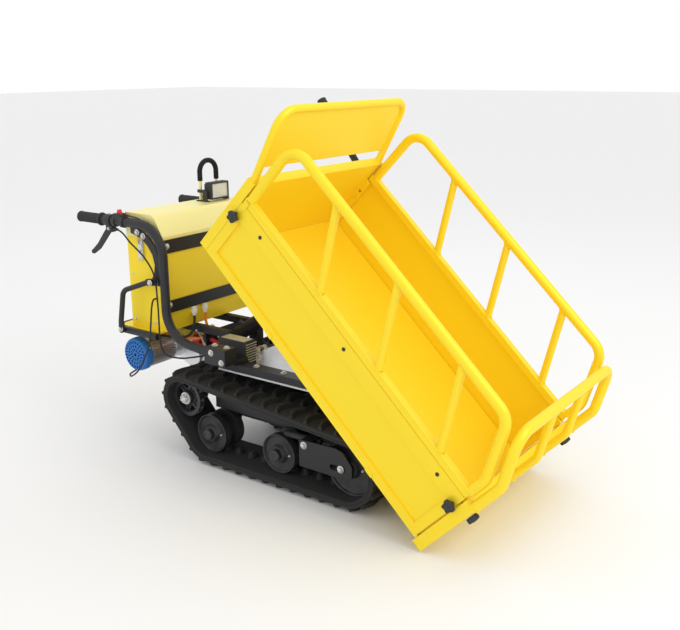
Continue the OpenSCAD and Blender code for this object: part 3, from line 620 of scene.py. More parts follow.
class BARROW_OT_finishes(bpy.types.Operator):
    """Makes every paint, rubber, metal and plastic"""

    bl_idname = "barrow.finishes"
    bl_label = "Finishes"

    def execute(self, context):
        c = context.scene.barrow_finishes
        yellow, black = tuple(c.yellow), tuple(c.black)
        orange_peel = dict(scale=420, strength=0.10, distance=0.00035, detail=1.5)
        Finish("yellow_paint", yellow, 0.33, coat=0.06, specular=0.32).mottled(2.6, 0.35, 0.93).gloss(
            22, 0.05
        ).bumps(5, 0.25, 0.0012, 2).bumps(**orange_peel)
        Finish("cover_paint", tuple(c.cover), 0.30, coat=0.2, specular=0.45).mottled(3.2, 0.35, 0.94).gloss(
            18, 0.05
        ).bumps(4, 0.3, 0.0015, 2).bumps(**orange_peel)
        Finish("black_paint", black, 0.30, specular=0.45).mottled(30, 0.8, 1.9).gloss(
            60, 0.08
        ).bumps(900, 0.18, 0.0003, 2).dusty((0.09, 0.085, 0.08), 0.16, 0.25)
        Finish("rubber", tuple(c.rubber), 0.25, coat=0.15, specular=0.7).mottled(24, 0.8, 2.1).gloss(
            35, 0.10
        ).bumps(60, 0.35, 0.0012, 4).bumps(700, 0.15, 0.0003, 2).dusty(
            (0.085, 0.08, 0.075), 0.07, 0.35
        )
        Finish("grip_rubber", (0.012, 0.012, 0.013), 0.62).mottled(90, 0.9, 2.0).bumps(
            1500, 0.5, 0.0004, 2
        )
        Finish("foam", (0.010, 0.010, 0.010), 0.85, specular=0.25).mottled(200, 0.9, 2.2).bumps(
            900, 0.8, 0.0008, 3, cells=True
        )
        Finish("iron_paint", (0.016, 0.016, 0.018), 0.42, specular=0.5).mottled(26, 0.9, 2.0).gloss(
            40, 0.10
        ).bumps(240, 0.35, 0.0008, 4).dusty((0.10, 0.095, 0.09), 0.15, 0.3)
        Finish("zinc", (0.62, 0.62, 0.60), 0.30, metallic=1.0).mottled(120, 0.8, 0.75).gloss(
            90, 0.10
        ).bumps(500, 0.15, 0.0003, 3)
        Finish("steel", (0.58, 0.58, 0.59), 0.26, metallic=1.0).mottled(60, 0.5, 0.85).gloss(
            140, 0.08, (1, 1, 14)
        ).bumps(320, 0.12, 0.0002, 3, (1, 1, 18))
        Finish("chrome", (0.80, 0.80, 0.81), 0.09, metallic=1.0).mottled(30, 0.4, 0.9).gloss(
            80, 0.04
        ).bumps(600, 0.04, 0.0001, 2)
        # Deck plate: the glossy black painted deck drawn as a pale lavender-grey metal. This colour is a painted sky
        # reflection; the metal's own reflections are rendered.
        Finish("deck_painted_sky_reflection", (0.66, 0.67, 0.70), 0.34, metallic=0.85).mottled(6, 0.6, 0.82).gloss(
            30, 0.10, (1, 12, 1)
        ).bumps(160, 0.10, 0.0003, 3, (1, 14, 1))
        Finish("aluminium", tuple(c.aluminium), 0.42, metallic=1.0).mottled(18, 0.8, 0.72).gloss(
            45, 0.10
        ).bumps(420, 0.45, 0.0008, 4)
        Finish("copper", (0.60, 0.28, 0.14), 0.4, metallic=1.0).mottled(80, 0.8, 0.6).bumps(
            300, 0.3, 0.0006, 3, (1, 10, 1)
        )
        Finish("blue_plastic", tuple(c.blue), 0.42, coat=0.05, specular=0.3).mottled(20, 0.5, 0.8).gloss(
            50, 0.06
        ).bumps(800, 0.12, 0.0003, 2)
        Finish("red_paint", tuple(c.red), 0.28, coat=0.4).mottled(24, 0.6, 0.75).gloss(
            40, 0.06
        ).bumps(140, 0.3, 0.0007, 4)
        Finish("red_plastic", tuple(c.red), 0.3, coat=0.2).mottled(60, 0.5, 0.8).bumps(
            700, 0.1, 0.0002, 2
        )
        Finish("black_plastic", (0.012, 0.012, 0.013), 0.44).mottled(60, 0.8, 1.9).gloss(
            80, 0.08
        ).bumps(1100, 0.35, 0.0003, 2)
        Finish("white_plastic", (0.78, 0.78, 0.75), 0.36).mottled(60, 0.6, 0.88).bumps(
            700, 0.12, 0.0003, 2
        )
        Finish("orange_cable", tuple(c.orange), 0.42).mottled(110, 0.7, 0.6).bumps(
            420, 0.6, 0.0008, 2, cells=True
        )
        Finish("cable_black", (0.010, 0.010, 0.011), 0.38).mottled(90, 0.8, 2.2).bumps(
            500, 0.35, 0.0005, 2
        )
        Finish("battery_case", (0.02, 0.022, 0.026), 0.5).mottled(40, 0.7, 1.8).bumps(
            900, 0.3, 0.0003, 2
        )
        Finish("reflector", (0.86, 0.87, 0.88), 0.12, metallic=1.0).mottled(200, 0.4, 0.85).bumps(
            300, 0.3, 0.0006, 2
        )
        Finish("lamp_cell", (0.88, 0.72, 0.16), 0.5).mottled(900, 0.7, 0.6).bumps(
            900, 0.4, 0.0004, 2, cells=True
        )
        lens = Finish("lamp_glass", (0.93, 0.95, 0.96), 0.06).gloss(60, 0.03).bumps(
            40, 0.04, 0.0004, 2
        )
        lens.surface.inputs["Transmission Weight"].default_value = 1.0
        lens.surface.inputs["IOR"].default_value = 1.45
        return {"FINISHED"}


# ---------- running gear ----------

SPROCKET, IDLER, WHEEL_REAR, WHEEL_FRONT = (-547, 221), (155, 131), (-444, 107), (-139, 107)
BELT_Y, LUG, BELT_ALL = 190, 16, 38
LOOP = ((WHEEL_REAR, 107), (IDLER, 131), (SPROCKET, 105))
ORIGIN = Matrix.Translation((-CENTRE_X, 0, 0))


class Loop:
    """The belt's path: straight runs and the arcs round its wheels"""

    def __init__(self):
        self.angles, self.legs = [], []
        for i, (c, r) in enumerate(LOOP):
            d, q = LOOP[(i + 1) % 3]
            way = Vector(d) - Vector(c)
            self.angles.append(math.atan2(way.y, way.x) - math.acos((r - q) / way.length))
        for i in range(3):
            j = (i + 1) % 3
            self.legs.append(("run", i, (self.touch(j, i) - self.touch(i, i)).length))
            wrap = (self.angles[j] - self.angles[i]) % (2 * math.pi)
            self.legs.append(("arc", i, wrap * LOOP[j][1]))
        self.length = sum(leg[2] for leg in self.legs)

    def touch(self, wheel, leg, grow=0.0):
        c, r = LOOP[wheel]
        a = self.angles[leg]
        return Vector(c) + (r + grow) * Vector((math.cos(a), math.sin(a)))

    def at(self, s, grow):
        """Point, outward direction and travel direction at distance s, grown outwards."""
        s %= self.length
        for kind, i, length in self.legs:
            if s < length:
                break
            s -= length
        j = (i + 1) % 3
        if kind == "run":
            a = self.angles[i]
            p = self.touch(i, i, grow).lerp(self.touch(j, i, grow), s / length)
        else:
            a = self.angles[i] + s / LOOP[j][1]
            p = Vector(LOOP[j][0]) + (LOOP[j][1] + grow) * Vector((math.cos(a), math.sin(a)))
        out = Vector((math.cos(a), 0, math.sin(a)))
        return p, out, Vector((-math.sin(a), 0, math.cos(a)))


def bar_shape(stations):
    """A closed bar lofted through stations of (x, y, base, top, height, sink), in millimetres."""
    shape, rings = Shape(), []
    points = []
    for x, y, base, top, height, sink in stations:
        rings.append(len(points))
        for dx, z in (
            (-base, -sink),
            (-top - (base - top) * 0.28, height * 0.62),
            (-top, height),
            (top, height),
            (top + (base - top) * 0.28, height * 0.62),
            (base, -sink),
        ):
            points.append(Vector((x + dx, y, z)) * MM)
    faces = [tuple(range(5, -1, -1))]
    faces += [
        (a + k, a + (k + 1) % 6, b + (k + 1) % 6, b + k)
        for a, b in zip(rings, rings[1:])
        for k in range(6)
    ]
    faces.append(tuple(range(rings[-1], rings[-1] + 6)))
    return shape.add(points, faces)


class BARROW_OT_belts(bpy.types.Operator):
    """Makes the rubber belts with their tread lugs and guide teeth"""

    bl_idname = "barrow.belts"
    bl_label = "Belts"

    def execute(self, context):
        sizes = context.scene.barrow_sizes
        loop = Loop()
        count = sizes.lug_count
        pitch = loop.length / count
        height = sizes.lug_height / MM - 0.5
        section = [
            (-90, -36.5), (-90, -32), (-88.2, -31), (-88.2, -27), (-90, -26), (-90, -19),
            (-88, -16.6), (-84, -16), (84, -16), (88, -16.6), (90, -19), (90, -26),
            (88.2, -27), (88.2, -31), (90, -32), (90, -36.5), (87, -38), (-87, -38),
        ]
        stations = []
        for k in range(7):
            t = k / 6
            bow = 15 * math.sin(math.pi * t * 0.92) - 5
            base = 9.5 + 4.5 * math.sin(math.pi * min(t + 0.15, 1))
            top = 4.2 + 3.4 * math.sin(math.pi * min(t + 0.2, 1))
            stations.append(
                (
                    bow, 4 + 82 * t, base, top,
                    height * (1.0 - 0.35 * max(t - 0.7, 0) / 0.3 - 0.2 * max(0.25 - t, 0) / 0.25), 1
                )
            )
        near = bar_shape(stations)
        far = bar_shape([(x, -y, b, a, h, d) for x, y, b, a, h, d in stations])
        tooth = bar_shape(
            [(0, -16, 12, 5, 5, 1), (0, -12, 15, 6, 24, 1), (0, 12, 15, 6, 24, 1), (0, 16, 12, 5, 5, 1)]
        )
        for name, side in SIDES:
            belt = Shape()
            points, faces, n = [], [], 8 * count
            for i in range(n):
                for w, g in section:
                    p, _, _ = loop.at(i * loop.length / n, g)
                    points.append(at((p.x, side * BELT_Y + w, p.y)))
            m = len(section)
            for i in range(n):
                a, b = i * m, (i + 1) % n * m
                faces += [(a + k, a + (k + 1) % m, b + (k + 1) % m, b + k) for k in range(m)]
            belt.add(points, faces)
            rubber = finish("rubber")
            piece("belt_" + name, belt, rubber, "chassis", ("track_belt_" + name,), angle=26)
            for label, shape, phase, grow, turn in (
                ("lugs_outer_", near, 0.5, -LUG, 1),
                ("lugs_inner_", far, 1.0, -LUG, 1),
                ("guide_teeth_", tooth, 0.5, -BELT_ALL, -1),
            ):
                places = []
                for k in range(count):
                    p, out, way = loop.at((k + phase) * pitch, grow)
                    places.append((at((p.x, side * BELT_Y, p.y)), out * turn, way * -side))
                repeat(label + name, shape, places, rubber, "chassis", edge=0.0013)
        return {"FINISHED"}


def wheel_profile(half, r):
    return [
        (-half - 8, 13), (-half - 8, 28), (-half + 8, 32), (-half + 9, r - 18), (-half + 2, r - 11),
        (-half, r - 9), (-half, r), (-20, r), (-20, r - 26), (20, r - 26), (20, r), (half, r),
        (half, r - 4), (half - 2, r - 6), (half - 8, r - 9), (half - 10, r - 18), (half - 10, 34),
        (half - 6, 30), (half + 6, 27), (half + 8, 25), (half + 8, 13),
    ]


class BARROW_OT_wheels(bpy.types.Operator):
    """Makes the road wheels and idlers"""

    bl_idname = "barrow.wheels"
    bl_label = "Wheels"

    def execute(self, context):
        for name, side in SIDES:
            for node, c, r, half in (
                ("road_wheel_front_", WHEEL_FRONT, 68.5, 48),
                ("road_wheel_rear_", WHEEL_REAR, 68.5, 48),
                ("idler_", IDLER, 92.6, 46),
            ):
                wheel = Shape().lathe(
                    wheel_profile(half, r), (c[0], BELT_Y, c[1]), (0, 1, 0), 72, side=side
                )
                piece(
                    "wheel_" + node + name, wheel, finish("iron_paint"), node + name + "_body",
                    (node + name,), 0.0009,
                )
                nipple = Shape().lathe(
                    [
                        (half - 11, 0), (half - 11, 4), (half - 5, 4), (half - 5, 2.6), (half - 2, 2.4),
                        (half - 1, 0)
                    ],
                    (c[0] + 41, BELT_Y, c[1]), (0, 1, 0), 12, side=side,
                )
                piece(
                    "nipple_" + node + name, nipple, finish("zinc"), node + name + "_body", edge=0.0004
                )
            axles = Shape()
            for c in (WHEEL_REAR, WHEEL_FRONT):
                axles.lathe(
                    [(-57, 0), (-57, 12.4), (59, 12.4), (59, 19), (61, 20), (69, 20), (71, 18.5),
                     (72, 17), (72, 11), (70, 9.5), (70, 0)],
                    (c[0], BELT_Y, c[1]), (0, 1, 0), 40, side=side,
                )
            axles.lathe(
                [(-57, 0), (-57, 12.4), (60, 12.4), (60, 0)], (IDLER[0], BELT_Y, IDLER[1]), (0, 1, 0), 32,
                side=side
            )
            replaced = ("wheel_axles",) if side > 0 else ()
            piece("axles_" + name, axles, finish("iron_paint"), "chassis", replaced, 0.0006)
        return {"FINISHED"}


def hexagon(r, turn=0.0):
    return [
        (r * math.cos(turn + k * math.pi / 3), r * math.sin(turn + k * math.pi / 3)) for k in range(6)
    ]


def bolt_shape(r, height, washer=True):
    """A washer and a hexagon head about the origin, along Z, in millimetres."""
    shape = Shape()
    if washer:
        shape.lathe([(-0.3, 0), (-0.3, r * 1.45), (1.2, r * 1.45), (1.2, 0)], (0, 0, 0), (0, 0, 1), 20, ORIGIN)
    shape.prism(hexagon(r), 1.1, 1.1 + height * 0.82, "xy", ORIGIN)
    shape.lathe(
        [(height * 0.8, 0), (height * 0.8, r * 0.86), (1.1 + height, r * 0.74), (1.1 + height, 0)],
        (0, 0, 0), (0, 0, 1), 18, ORIGIN,
    )
    return shape


class BARROW_OT_sprockets(bpy.types.Operator):
    """Makes the spoked drive sprockets with their castle nuts"""

    bl_idname = "barrow.sprockets"
    bl_label = "Sprockets"

    def execute(self, context):
        x, z = SPROCKET
        for name, side in SIDES:
            wheel = Shape()
            centre = (x, BELT_Y, z)
            wheel.lathe(
                [
                    (34, 52), (34, 66.4), (40, 66.4), (40, 60), (54, 60), (54, 66.4), (60, 66.4), (60, 52),
                    (56, 50), (38, 50)
                ],
                centre, (0, 1, 0), 72, side=side
            )
            wheel.lathe(
                [
                    (-24, 14.9), (-24, 26), (38, 26), (39, 30), (47, 30), (48, 26), (62, 25), (64, 23),
                    (64, 14.9)
                ],
                centre, (0, 1, 0), 48, side=side
            )
            wheel.lathe([(-128, 0), (-128, 14.9), (64, 14.9), (64, 0)], centre, (0, 1, 0), 32, side=side)
            for k in range(6):
                a = math.pi * k / 3 + 0.3
                u, v = Vector((math.cos(a), math.sin(a))), Vector((-math.sin(a), math.cos(a)))
                for low, high, wide in ((40, 46, 15), (36, 50, 4)):
                    spoke = [
                        u * 24 + v * wide, u * 54 + v * wide * 0.6, u * 54 - v * wide * 0.6, u * 24 - v * wide
                    ]
                    wheel.prism(
                        [(x + p.x, z + p.y) for p in spoke], BELT_Y + low, BELT_Y + high, "xz", side=side
                    )
            piece(
                "sprocket_wheel_" + name, wheel, finish("iron_paint"), f"sprocket_{name}_body",
                ("sprocket_" + name,), 0.001
            )
            pin = Shape().lathe([(-12, 0), (-12, 4.6), (12, 4.6), (12, 0)], (0, 0, 0), (0, 0, 1), 14, ORIGIN)
            pins = []
            for k in range(12):
                a = math.pi * k / 6
                out = Vector((math.cos(a), 0, math.sin(a)))
                pins.append(
                    (at((x + 61 * out.x, side * (BELT_Y + 47), z + 61 * out.z)), Vector((0, 1, 0)), out)
                )
            repeat(
                "sprocket_pins_" + name, pin, pins, finish("steel"), f"sprocket_{name}_body",
                edge=0.0006
            )
            nut = Shape().lathe([(63, 0), (63, 22), (65.5, 22), (65.5, 0)], centre, (0, 1, 0), 28, side=side)
            nut.prism([(x + u, z + v) for u, v in hexagon(17)], BELT_Y + 65.4, BELT_Y + 73, "xz", side=side)
            for k in range(6):
                a = math.pi * (k + 0.5) / 3
                u, v = math.cos(a), math.sin(a)
                tooth = [(9, -4.4), (14, -4.4), (14, 4.4), (9, 4.4)]
                nut.prism(
                    [(x + p * u - q * v, z + p * v + q * u) for p, q in tooth], BELT_Y + 72.8, BELT_Y + 77.5,
                    "xz", side=side
                )
            nut.lathe([(66, 0), (66, 8.6), (76, 8.6), (77.5, 7.4), (77.5, 0)], centre, (0, 1, 0), 24, side=side)
            nut.tube(
                [
                    (x - 17, BELT_Y + 75, z - 6), (x, BELT_Y + 75.4, z), (x + 17, BELT_Y + 75, z + 6),
                    (x + 19, BELT_Y + 71, z + 9)
                ],
                1.5, 10, side=side
            )
            piece("castle_nut_" + name, nut, finish("zinc"), f"sprocket_{name}_body", (), 0.0006)
        return {"FINISHED"}


def holed(outline, holes, low, high, axes="xz", place=MACHINE, side=1):
    """A plate with holes: outlines in two axes, thickness along the third."""
    loops = [outline] + holes
    flat = [Vector((u, v, 0)) for loop in loops for u, v in loop]
    triangles = tessellate_polygon([[Vector((u, v, 0)) for u, v in loop] for loop in loops])
    order = {"xz": (0, 2, 1), "xy": (0, 1, 2), "yz": (1, 2, 0)}[axes]
    points = []
    for w in (low, high):
        for q in flat:
            p = [0, 0, 0]
            p[order[0]], p[order[1]], p[order[2]] = q.x, q.y, w
            points.append(at(mirrored(p, side), place))
    n = len(flat)
    faces = [tuple(t) for t in triangles] + [tuple(i + n for i in reversed(t)) for t in triangles]
    base = 0
    for loop in loops:
        m = len(loop)
        faces += [(base + i, base + (i + 1) % m, base + (i + 1) % m + n, base + i + n) for i in range(m)]
        base += m
    return Shape().add(points, faces)


def plate(name, shapes, material, body, replaces=(), edge=0.001):
    """A piece of holed plates, their flat triangles joined before the edges are rounded."""
    mesh = bpy.data.meshes.new(name)
    whole = Shape()
    for s in shapes:
        whole.join(s)
    mesh.from_pydata([tuple(p) for p in whole.points], [], whole.faces)
    bm = bmesh.new()
    bm.from_mesh(mesh)
    bmesh.ops.remove_doubles(bm, verts=bm.verts, dist=1e-7)
    bmesh.ops.recalc_face_normals(bm, faces=bm.faces)
    bmesh.ops.dissolve_limit(bm, angle_limit=math.radians(0.5), verts=bm.verts, edges=bm.edges)
    bm.to_mesh(mesh)
    bm.free()
    obj = new_object(name, mesh, [material])
    round_edges(obj, edge)
    return hand_in(obj, body, replaces)


def slot_outline(a, b, r, steps=10):
    """The outline of a slot between two points."""
    a, b = Vector(a), Vector(b)
    way = (b - a).normalized()
    start = math.atan2(way.y, way.x) - math.pi / 2
    out = []
    for c, base in ((b, start), (a, start + math.pi)):
        out += [
            (c.x + r * math.cos(base + math.pi * k / steps), c.y + r * math.sin(base + math.pi * k / steps))
            for k in range(steps + 1)
        ]
    return out


class BARROW_OT_undercarriage(bpy.types.Operator):
    """Makes the track frames, idler forks and their screws"""

    bl_idname = "barrow.undercarriage"
    bl_label = "Undercarriage"

    def execute(self, context):
        edge = context.scene.barrow_sizes.casting_edge
        black = finish("black_paint")
        softened(["track_frames"], "track_beams", black, "chassis", edge)
        outline = [
            (-34, 103), (-31, 100), (158, 98), (172, 107), (175, 112), (175, 148), (141, 189), (134, 192),
            (112, 197), (-31, 193), (-34, 190)
        ]
        screws = []
        for name, side in SIDES:
            fork = holed(outline, [slot_outline((98, 131), (140, 131), 8.5)], 251, 259, side=side)
            extra = Shape().block((-30, 182, 184), (10, 252, 192), side=side)
            extra.block((-30, 182, 191), (10, 188, 219), side=side).block(
                (-30, 221, 120), (-22, 251.5, 185), side=side
            )
            plate(
                "idler_fork_" + name, [fork], black, "chassis",
                ("tensioner_plates",) if side > 0 else (), 0.0014
            )
            piece("fork_spacer_" + name, extra, black, "chassis", (), 0.0012)
            tube = Shape().lathe(
                [(0, 0), (0, 9), (4, 11), (112, 11), (116, 9), (150, 9), (150, 0)], (-125, 215, 178),
                (1, 0, 0.02), 28, side=side
            )
            piece("tension_tube_" + name, tube, finish("black_plastic"), "chassis", (), 0.001)
            screws += [
                (at((132, side * 259, 131)), Vector((0, side, 0)), Vector((1, 0, 0))),
                (at((-14, side * 259, 176)), Vector((0, side, 0)), Vector((1, 0, 0)))
            ]
        repeat("fork_screws", bolt_shape(9, 7), screws, finish("zinc"), "chassis", edge=0.0006)
        return {"FINISHED"}


# ---------- chassis and drive ----------

BAR_Y, GRIP_Z = 255, 827
MOTOR = (-790, 339)


def facing(places, side, out, along):
    """Bolt places on one side: points in machine millimetres with their directions."""
    return [
        (at(mirrored(p, side)), mirrored(Vector(out), side), mirrored(Vector(along), side))
        for p in places
    ]


class BARROW_OT_chassis(bpy.types.Operator):
    """Makes the chassis rails, deck plate and boxes on it"""

    bl_idname = "barrow.chassis"
    bl_label = "Chassis"

    def execute(self, context):
        edge = context.scene.barrow_sizes.casting_edge
        black = finish("black_paint")
        softened(["chassis_frame"], "chassis_rails", black, "chassis", edge)
        # The deck's pale lavender-grey colour is a painted sky reflection on what is glossy black paint.
        softened(["deck_plate"], "deck_sheet", finish("deck_painted_sky_reflection"), "chassis", 0.0008)
        softened(
            ["controller_box"], "controller_case", finish("black_plastic"), "chassis", 0.003, 3
        )
        label = Shape().block((-470, -143, 431.6), (-362, -97, 433.2))
        piece("controller_cover", label, finish("aluminium"), "chassis", (), 0.0008)
        places = [(at((-352, -120, z)), Vector((1, 0, 0)), Vector((0, 0, 1))) for z in range(360, 428, 9)]
        fins = Shape().block((-1.3, -26, -1), (1.3, 26, 5), ORIGIN)
        repeat("controller_fins", fins, places, finish("aluminium"), "chassis", edge=0.0005)
        bolts = []
        for side in (1, -1):
            bolts += facing([(-410, 238, 437), (-355, 238, 437)], side, (0, 0, 1), (1, 0, 0))
            bolts += facing([(-398, 270, 420), (-352, 270, 392)], side, (0, 1, 0), (1, 0, 0))
            bolts += facing([(22, 118, 403)], side, (0, 1, 0), (1, 0, 0))
            bolts += facing([(x, 175, 368) for x in (-400, -280, -160, -40, 60)], side, (0, 0, 1), (1, 0, 0))
        repeat(
            "chassis_bolts", bolt_shape(8, 6), bolts, finish("zinc"), "chassis", ("frame_bolts",),
            0.0006
        )
        fittings = Shape()
        for y in (-78, -42):
            fittings.tube([(-395, y, 356), (-395, y, 372), (-380, y, 384), (-362, y, 388)], 6.5, 16)
            fittings.lathe([(0, 0), (0, 10), (10, 10), (10, 0)], (-362, y, 388), (1, 0, 0.15), 6)
            fittings.lathe([(0, 0), (0, 11), (14, 11), (14, 0)], (-395, y, 344), (0, 0, 1), 24)
        fittings.block((-404, -94, 343.5), (-386, -26, 351))
        piece("brake_fittings", fittings, finish("zinc"), "chassis", (), 0.001)
        return {"FINISHED"}


class BARROW_OT_drive(bpy.types.Operator):
    """Makes the finned motor, its fan cover, the gearbox and the parking brake"""

    bl_idname = "barrow.drive"
    bl_label = "Drive"

    def execute(self, context):
        x, z = MOTOR
        out = (0, -1, 0)
        shell = Shape().lathe(
            [
                (0, 10.2), (0, 57), (3, 58), (9, 58), (11, 56), (11, 48), (118, 48), (120, 52), (130, 52),
                (130, 40), (122, 38), (8, 38), (4, 10.2)
            ],
            (x, -98, z), out, 72,
        )
        shell.block(
            (x - 20, -178, z + 44), (x + 20, -128, z + 60)
        ).block((x - 22, -180, z + 59), (x + 22, -126, z + 64))
        piece("motor_shell", shell, finish("aluminium"), "chassis", ("motor_body",), 0.0008)
        fin = Shape().prism([(0, -1.7), (13, -0.8), (13, 0.8), (0, 1.7)], 0, 108, "xy", ORIGIN)
        places = []
        for k in range(36):
            a = 2 * math.pi * k / 36
            if abs(math.degrees(a) - 90) < 22:
                continue
            way = Vector((math.cos(a), 0, math.sin(a)))
            places.append((at((x + 45 * way.x, -108, z + 45 * way.z)), Vector(out), way))
        repeat("motor_fins", fin, places, finish("aluminium"), "chassis", edge=0.0004)
        cover, points, faces = Shape(), [], []
        rings = [
            (6, 0), (14, 0), (23, 0), (28, 0), (37, 0), (42, 0), (51, 0), (54.5, 0.6), (58.5, 3), (60.8, 7),
            (61.6, 12), (61.9, 20), (61.9, 33.5)
        ]
        slots = {1: (12, 6), 3: (9, 4), 5: (6, 3)}
        n = 144
        for r, drop in rings:
            for k in range(n):
                a = 2 * math.pi * k / n
                points.append(at((x + r * math.cos(a), -262 + drop, z + r * math.sin(a))))
        for i in range(len(rings) - 1):
            period, wide = slots.get(i, (1, 0))
            for k in range(n):
                if (k + 2 * i) % period < wide:
                    continue
                j = (k + 1) % n
                faces.append((i * n + k, i * n + j, (i + 1) * n + j, (i + 1) * n + k))
        mesh = bpy.data.meshes.new("fan_cowl")
        cover.add(points, faces)
        mesh.from_pydata([tuple(p) for p in cover.points], [], cover.faces)
        cowl = new_object("fan_cowl", mesh, [finish("blue_plastic")])
        if mesh.polygons[0].normal.y > 0:
            mesh.flip_normals()
        wall = cowl.modifiers.new("Wall", "SOLIDIFY")
        wall.thickness, wall.offset = 0.0022, -1
        evaluated(cowl)
        round_edges(cowl, 0.0004, 1, 50)
        hand_in(cowl, "chassis", ("fan_cover",))
        inner = Shape().lathe([(0, 0), (0, 11), (1, 54), (-3, 56), (-6, 54), (-6, 0)], (x, -250, z), out, 48)
        piece("fan_disc", inner, finish("black_plastic"), "chassis", (), 0.0008)
        screws = [
            (
                at((x + 62 * math.cos(a), -238, z + 62 * math.sin(a))), Vector((math.cos(a), 0, math.sin(a))),
                Vector((0, 1, 0))
            )
            for a in (0.5, 2.6, 3.7, 5.7)
        ]
        repeat(
            "cowl_screws", bolt_shape(3.2, 1.6, False), screws, finish("zinc"), "chassis", edge=0.0003
        )
        softened(["gearbox"], "gearbox_casting", finish("aluminium"), "chassis", 0.0035, 3)
        rim = [
            (-527, 166), (-497, 192), (-490, 231), (-512, 270), (-590, 308), (-669, 346), (-772, 386),
            (-811, 384), (-833, 364), (-839, 330), (-822, 301), (-711, 254), (-585, 182)
        ]
        seam = []
        middle = Vector((-660, 285))
        for u, v in rim:
            p = Vector((u, v))
            seam.append(tuple(p + (p - middle).normalized() * 7))
        flange = Shape().prism(seam, -6, 6, "xz")
        piece("gearbox_flange", flange, finish("aluminium"), "chassis", (), 0.002)
        bolts = []
        for u, v in seam:
            p = Vector((u, v)) + (middle - Vector((u, v))).normalized() * 7.5
            bolts.append((at((p.x, -60, p.y)), Vector(out), Vector((1, 0, 0))))
        repeat("gearbox_bolts", bolt_shape(5.2, 4.5), bolts, finish("zinc"), "chassis", edge=0.0004)
        softened(["parking_brake"], "brake_body", finish("red_paint"), "chassis", 0.006, 3)
        arm = Shape().tube(
            rounded([(-690, -96, 380), (-640, -96, 384), (-600, -70, 384), (-560, -60, 372)], 20), 8, 16
        )
        arm.lathe([(-8, 0), (-8, 15), (8, 15), (8, 0)], (-645, -84, 372), out, 28)
        piece("brake_arm", arm, finish("red_paint"), "chassis", (), 0.001)
        rods = Shape()
        for a, b in (((-640, -88, 416), (-560, -128, 372)), ((-610, -40, 424), (-520, -84, 378))):
            rods.tube([a, b], 3.4, 14)
            way = (Vector(b) - Vector(a)).normalized()
            for p in (a, b):
                rods.lathe([(-4, 0), (-4, 8.5), (4, 8.5), (4, 0)], p, (0.35, 0.1, 0.9), 20)
            rods.tube([tuple(Vector(b) - way * 26), tuple(Vector(b) - way * 10)], 5.5, 6)
        piece("brake_rods", rods, finish("zinc"), "chassis", (), 0.0008)
        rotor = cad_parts["motor_rotor"].data
        rotor.materials.clear()
        rotor.materials.append(finish("copper"))
        return {"FINISHED"}


# ---------- cables ----------


class BARROW_OT_cables(bpy.types.Operator):
    """Makes the brake cables, motor leads and glands"""

    bl_idname = "barrow.cables"
    bl_label = "Cables"

    def execute(self, context):
        route = [(-865.5, 255, 797), (-845, 256, 796), (-810, 262, 786), (-770, 266, 758), (-705, 267, 715),
                 (-658, 267, 655), (-648, 267, 560), (-646, 268, 480), (-645, 268, 410), (-636, 255, 368),
                 (-605, 215, 348), (-575, 165, 345), (-555, 125, 345), (-548, 94.3, 343)]
        black = finish("cable_black")
        both = Shape()
        for _, side in SIDES:
            both.tube(smooth_route(route), 3, 14, side=side)
            both.lathe(
                [(0, 0), (0, 5.5), (16, 5.5), (24, 3.4), (24, 0)], route[0], (1, 0.02, -0.05), 16, side=side
            )
        piece("brake_cables", both, black, "chassis", ("control_cables",))
        gland_x = -629.5
        orange = Shape().tube(
            smooth_route([(gland_x, -55, 482), (gland_x, -55, 455), (-622, -55, 425), (-613, -64, 401), (-617, -90, 391),
                          (-645, -114, 390), (-705, -130, 395), (-771.7, -140, 397)]), 5, 16)
        piece("orange_lead", orange, finish("orange_cable"), "chassis", ("wiring",))
        lead = Shape().tube(
            smooth_route([(gland_x, -110, 482), (gland_x, -112, 455), (-632, -118, 425), (-648, -140, 402),
                          (-705, -158, 396), (-771.7, -165, 397)]), 4.6, 16)
        piece("black_lead", lead, black, "chassis")
        loop = Shape().tube(
            smooth_route([(-690, -236.2, 560), (-690, -250, 556), (-676, -272, 530), (-664, -292, 470), (-668, -297, 420),
                          (-690, -297, 370), (-740, -292, 300), (-790, -284, 264), (-818, -266, 262),
                          (-812, -240, 272),
                          (-800, -222, 282.5)], 10), 3, 14)
        piece("hanging_lead", loop, black, "chassis")
        lamp_lead = Shape().tube(
            smooth_route([(-748, 211, 898), (-749, 218, 892), (-752, 221, 878), (-760, 219, 866), (-774, 214, 863), (-790, 207, 863)], 10), 2.6, 12)
        piece("lamp_lead", lamp_lead, black, "cover")
        switch_lead = Shape()
        for _, side in SIDES:
            switch_lead.tube(
                smooth_route(
                    [
                        (-826, 255, 846), (-800, 256, 852), (-770, 254, 850), (-730, 252, 842),
                        (-690, 250, 812), (-668, 246, 770), (-662, 240, 738)
                    ],
                    8
                ),
                2.4, 12, side=side
            )
        piece("switch_leads", switch_lead, black, "chassis")
        glands = Shape()
        for y in (-110, -55):
            glands.lathe(
                [
                    (0, 0), (0, 7), (8, 7.6), (9, 8), (9, 10.4), (12, 11), (20, 11), (22, 9.4), (32, 9.4),
                    (32, 0)
                ],
                (gland_x, y, 480), (0, 0, 1), 28
            )
            glands.prism([(gland_x + u, y + v) for u, v in hexagon(12)], 494, 502, "xy")
        piece("glands", glands, finish("white_plastic"), "chassis", ("cable_glands",), 0.0006)
        return {"FINISHED"}


# ---------- handlebars ----------


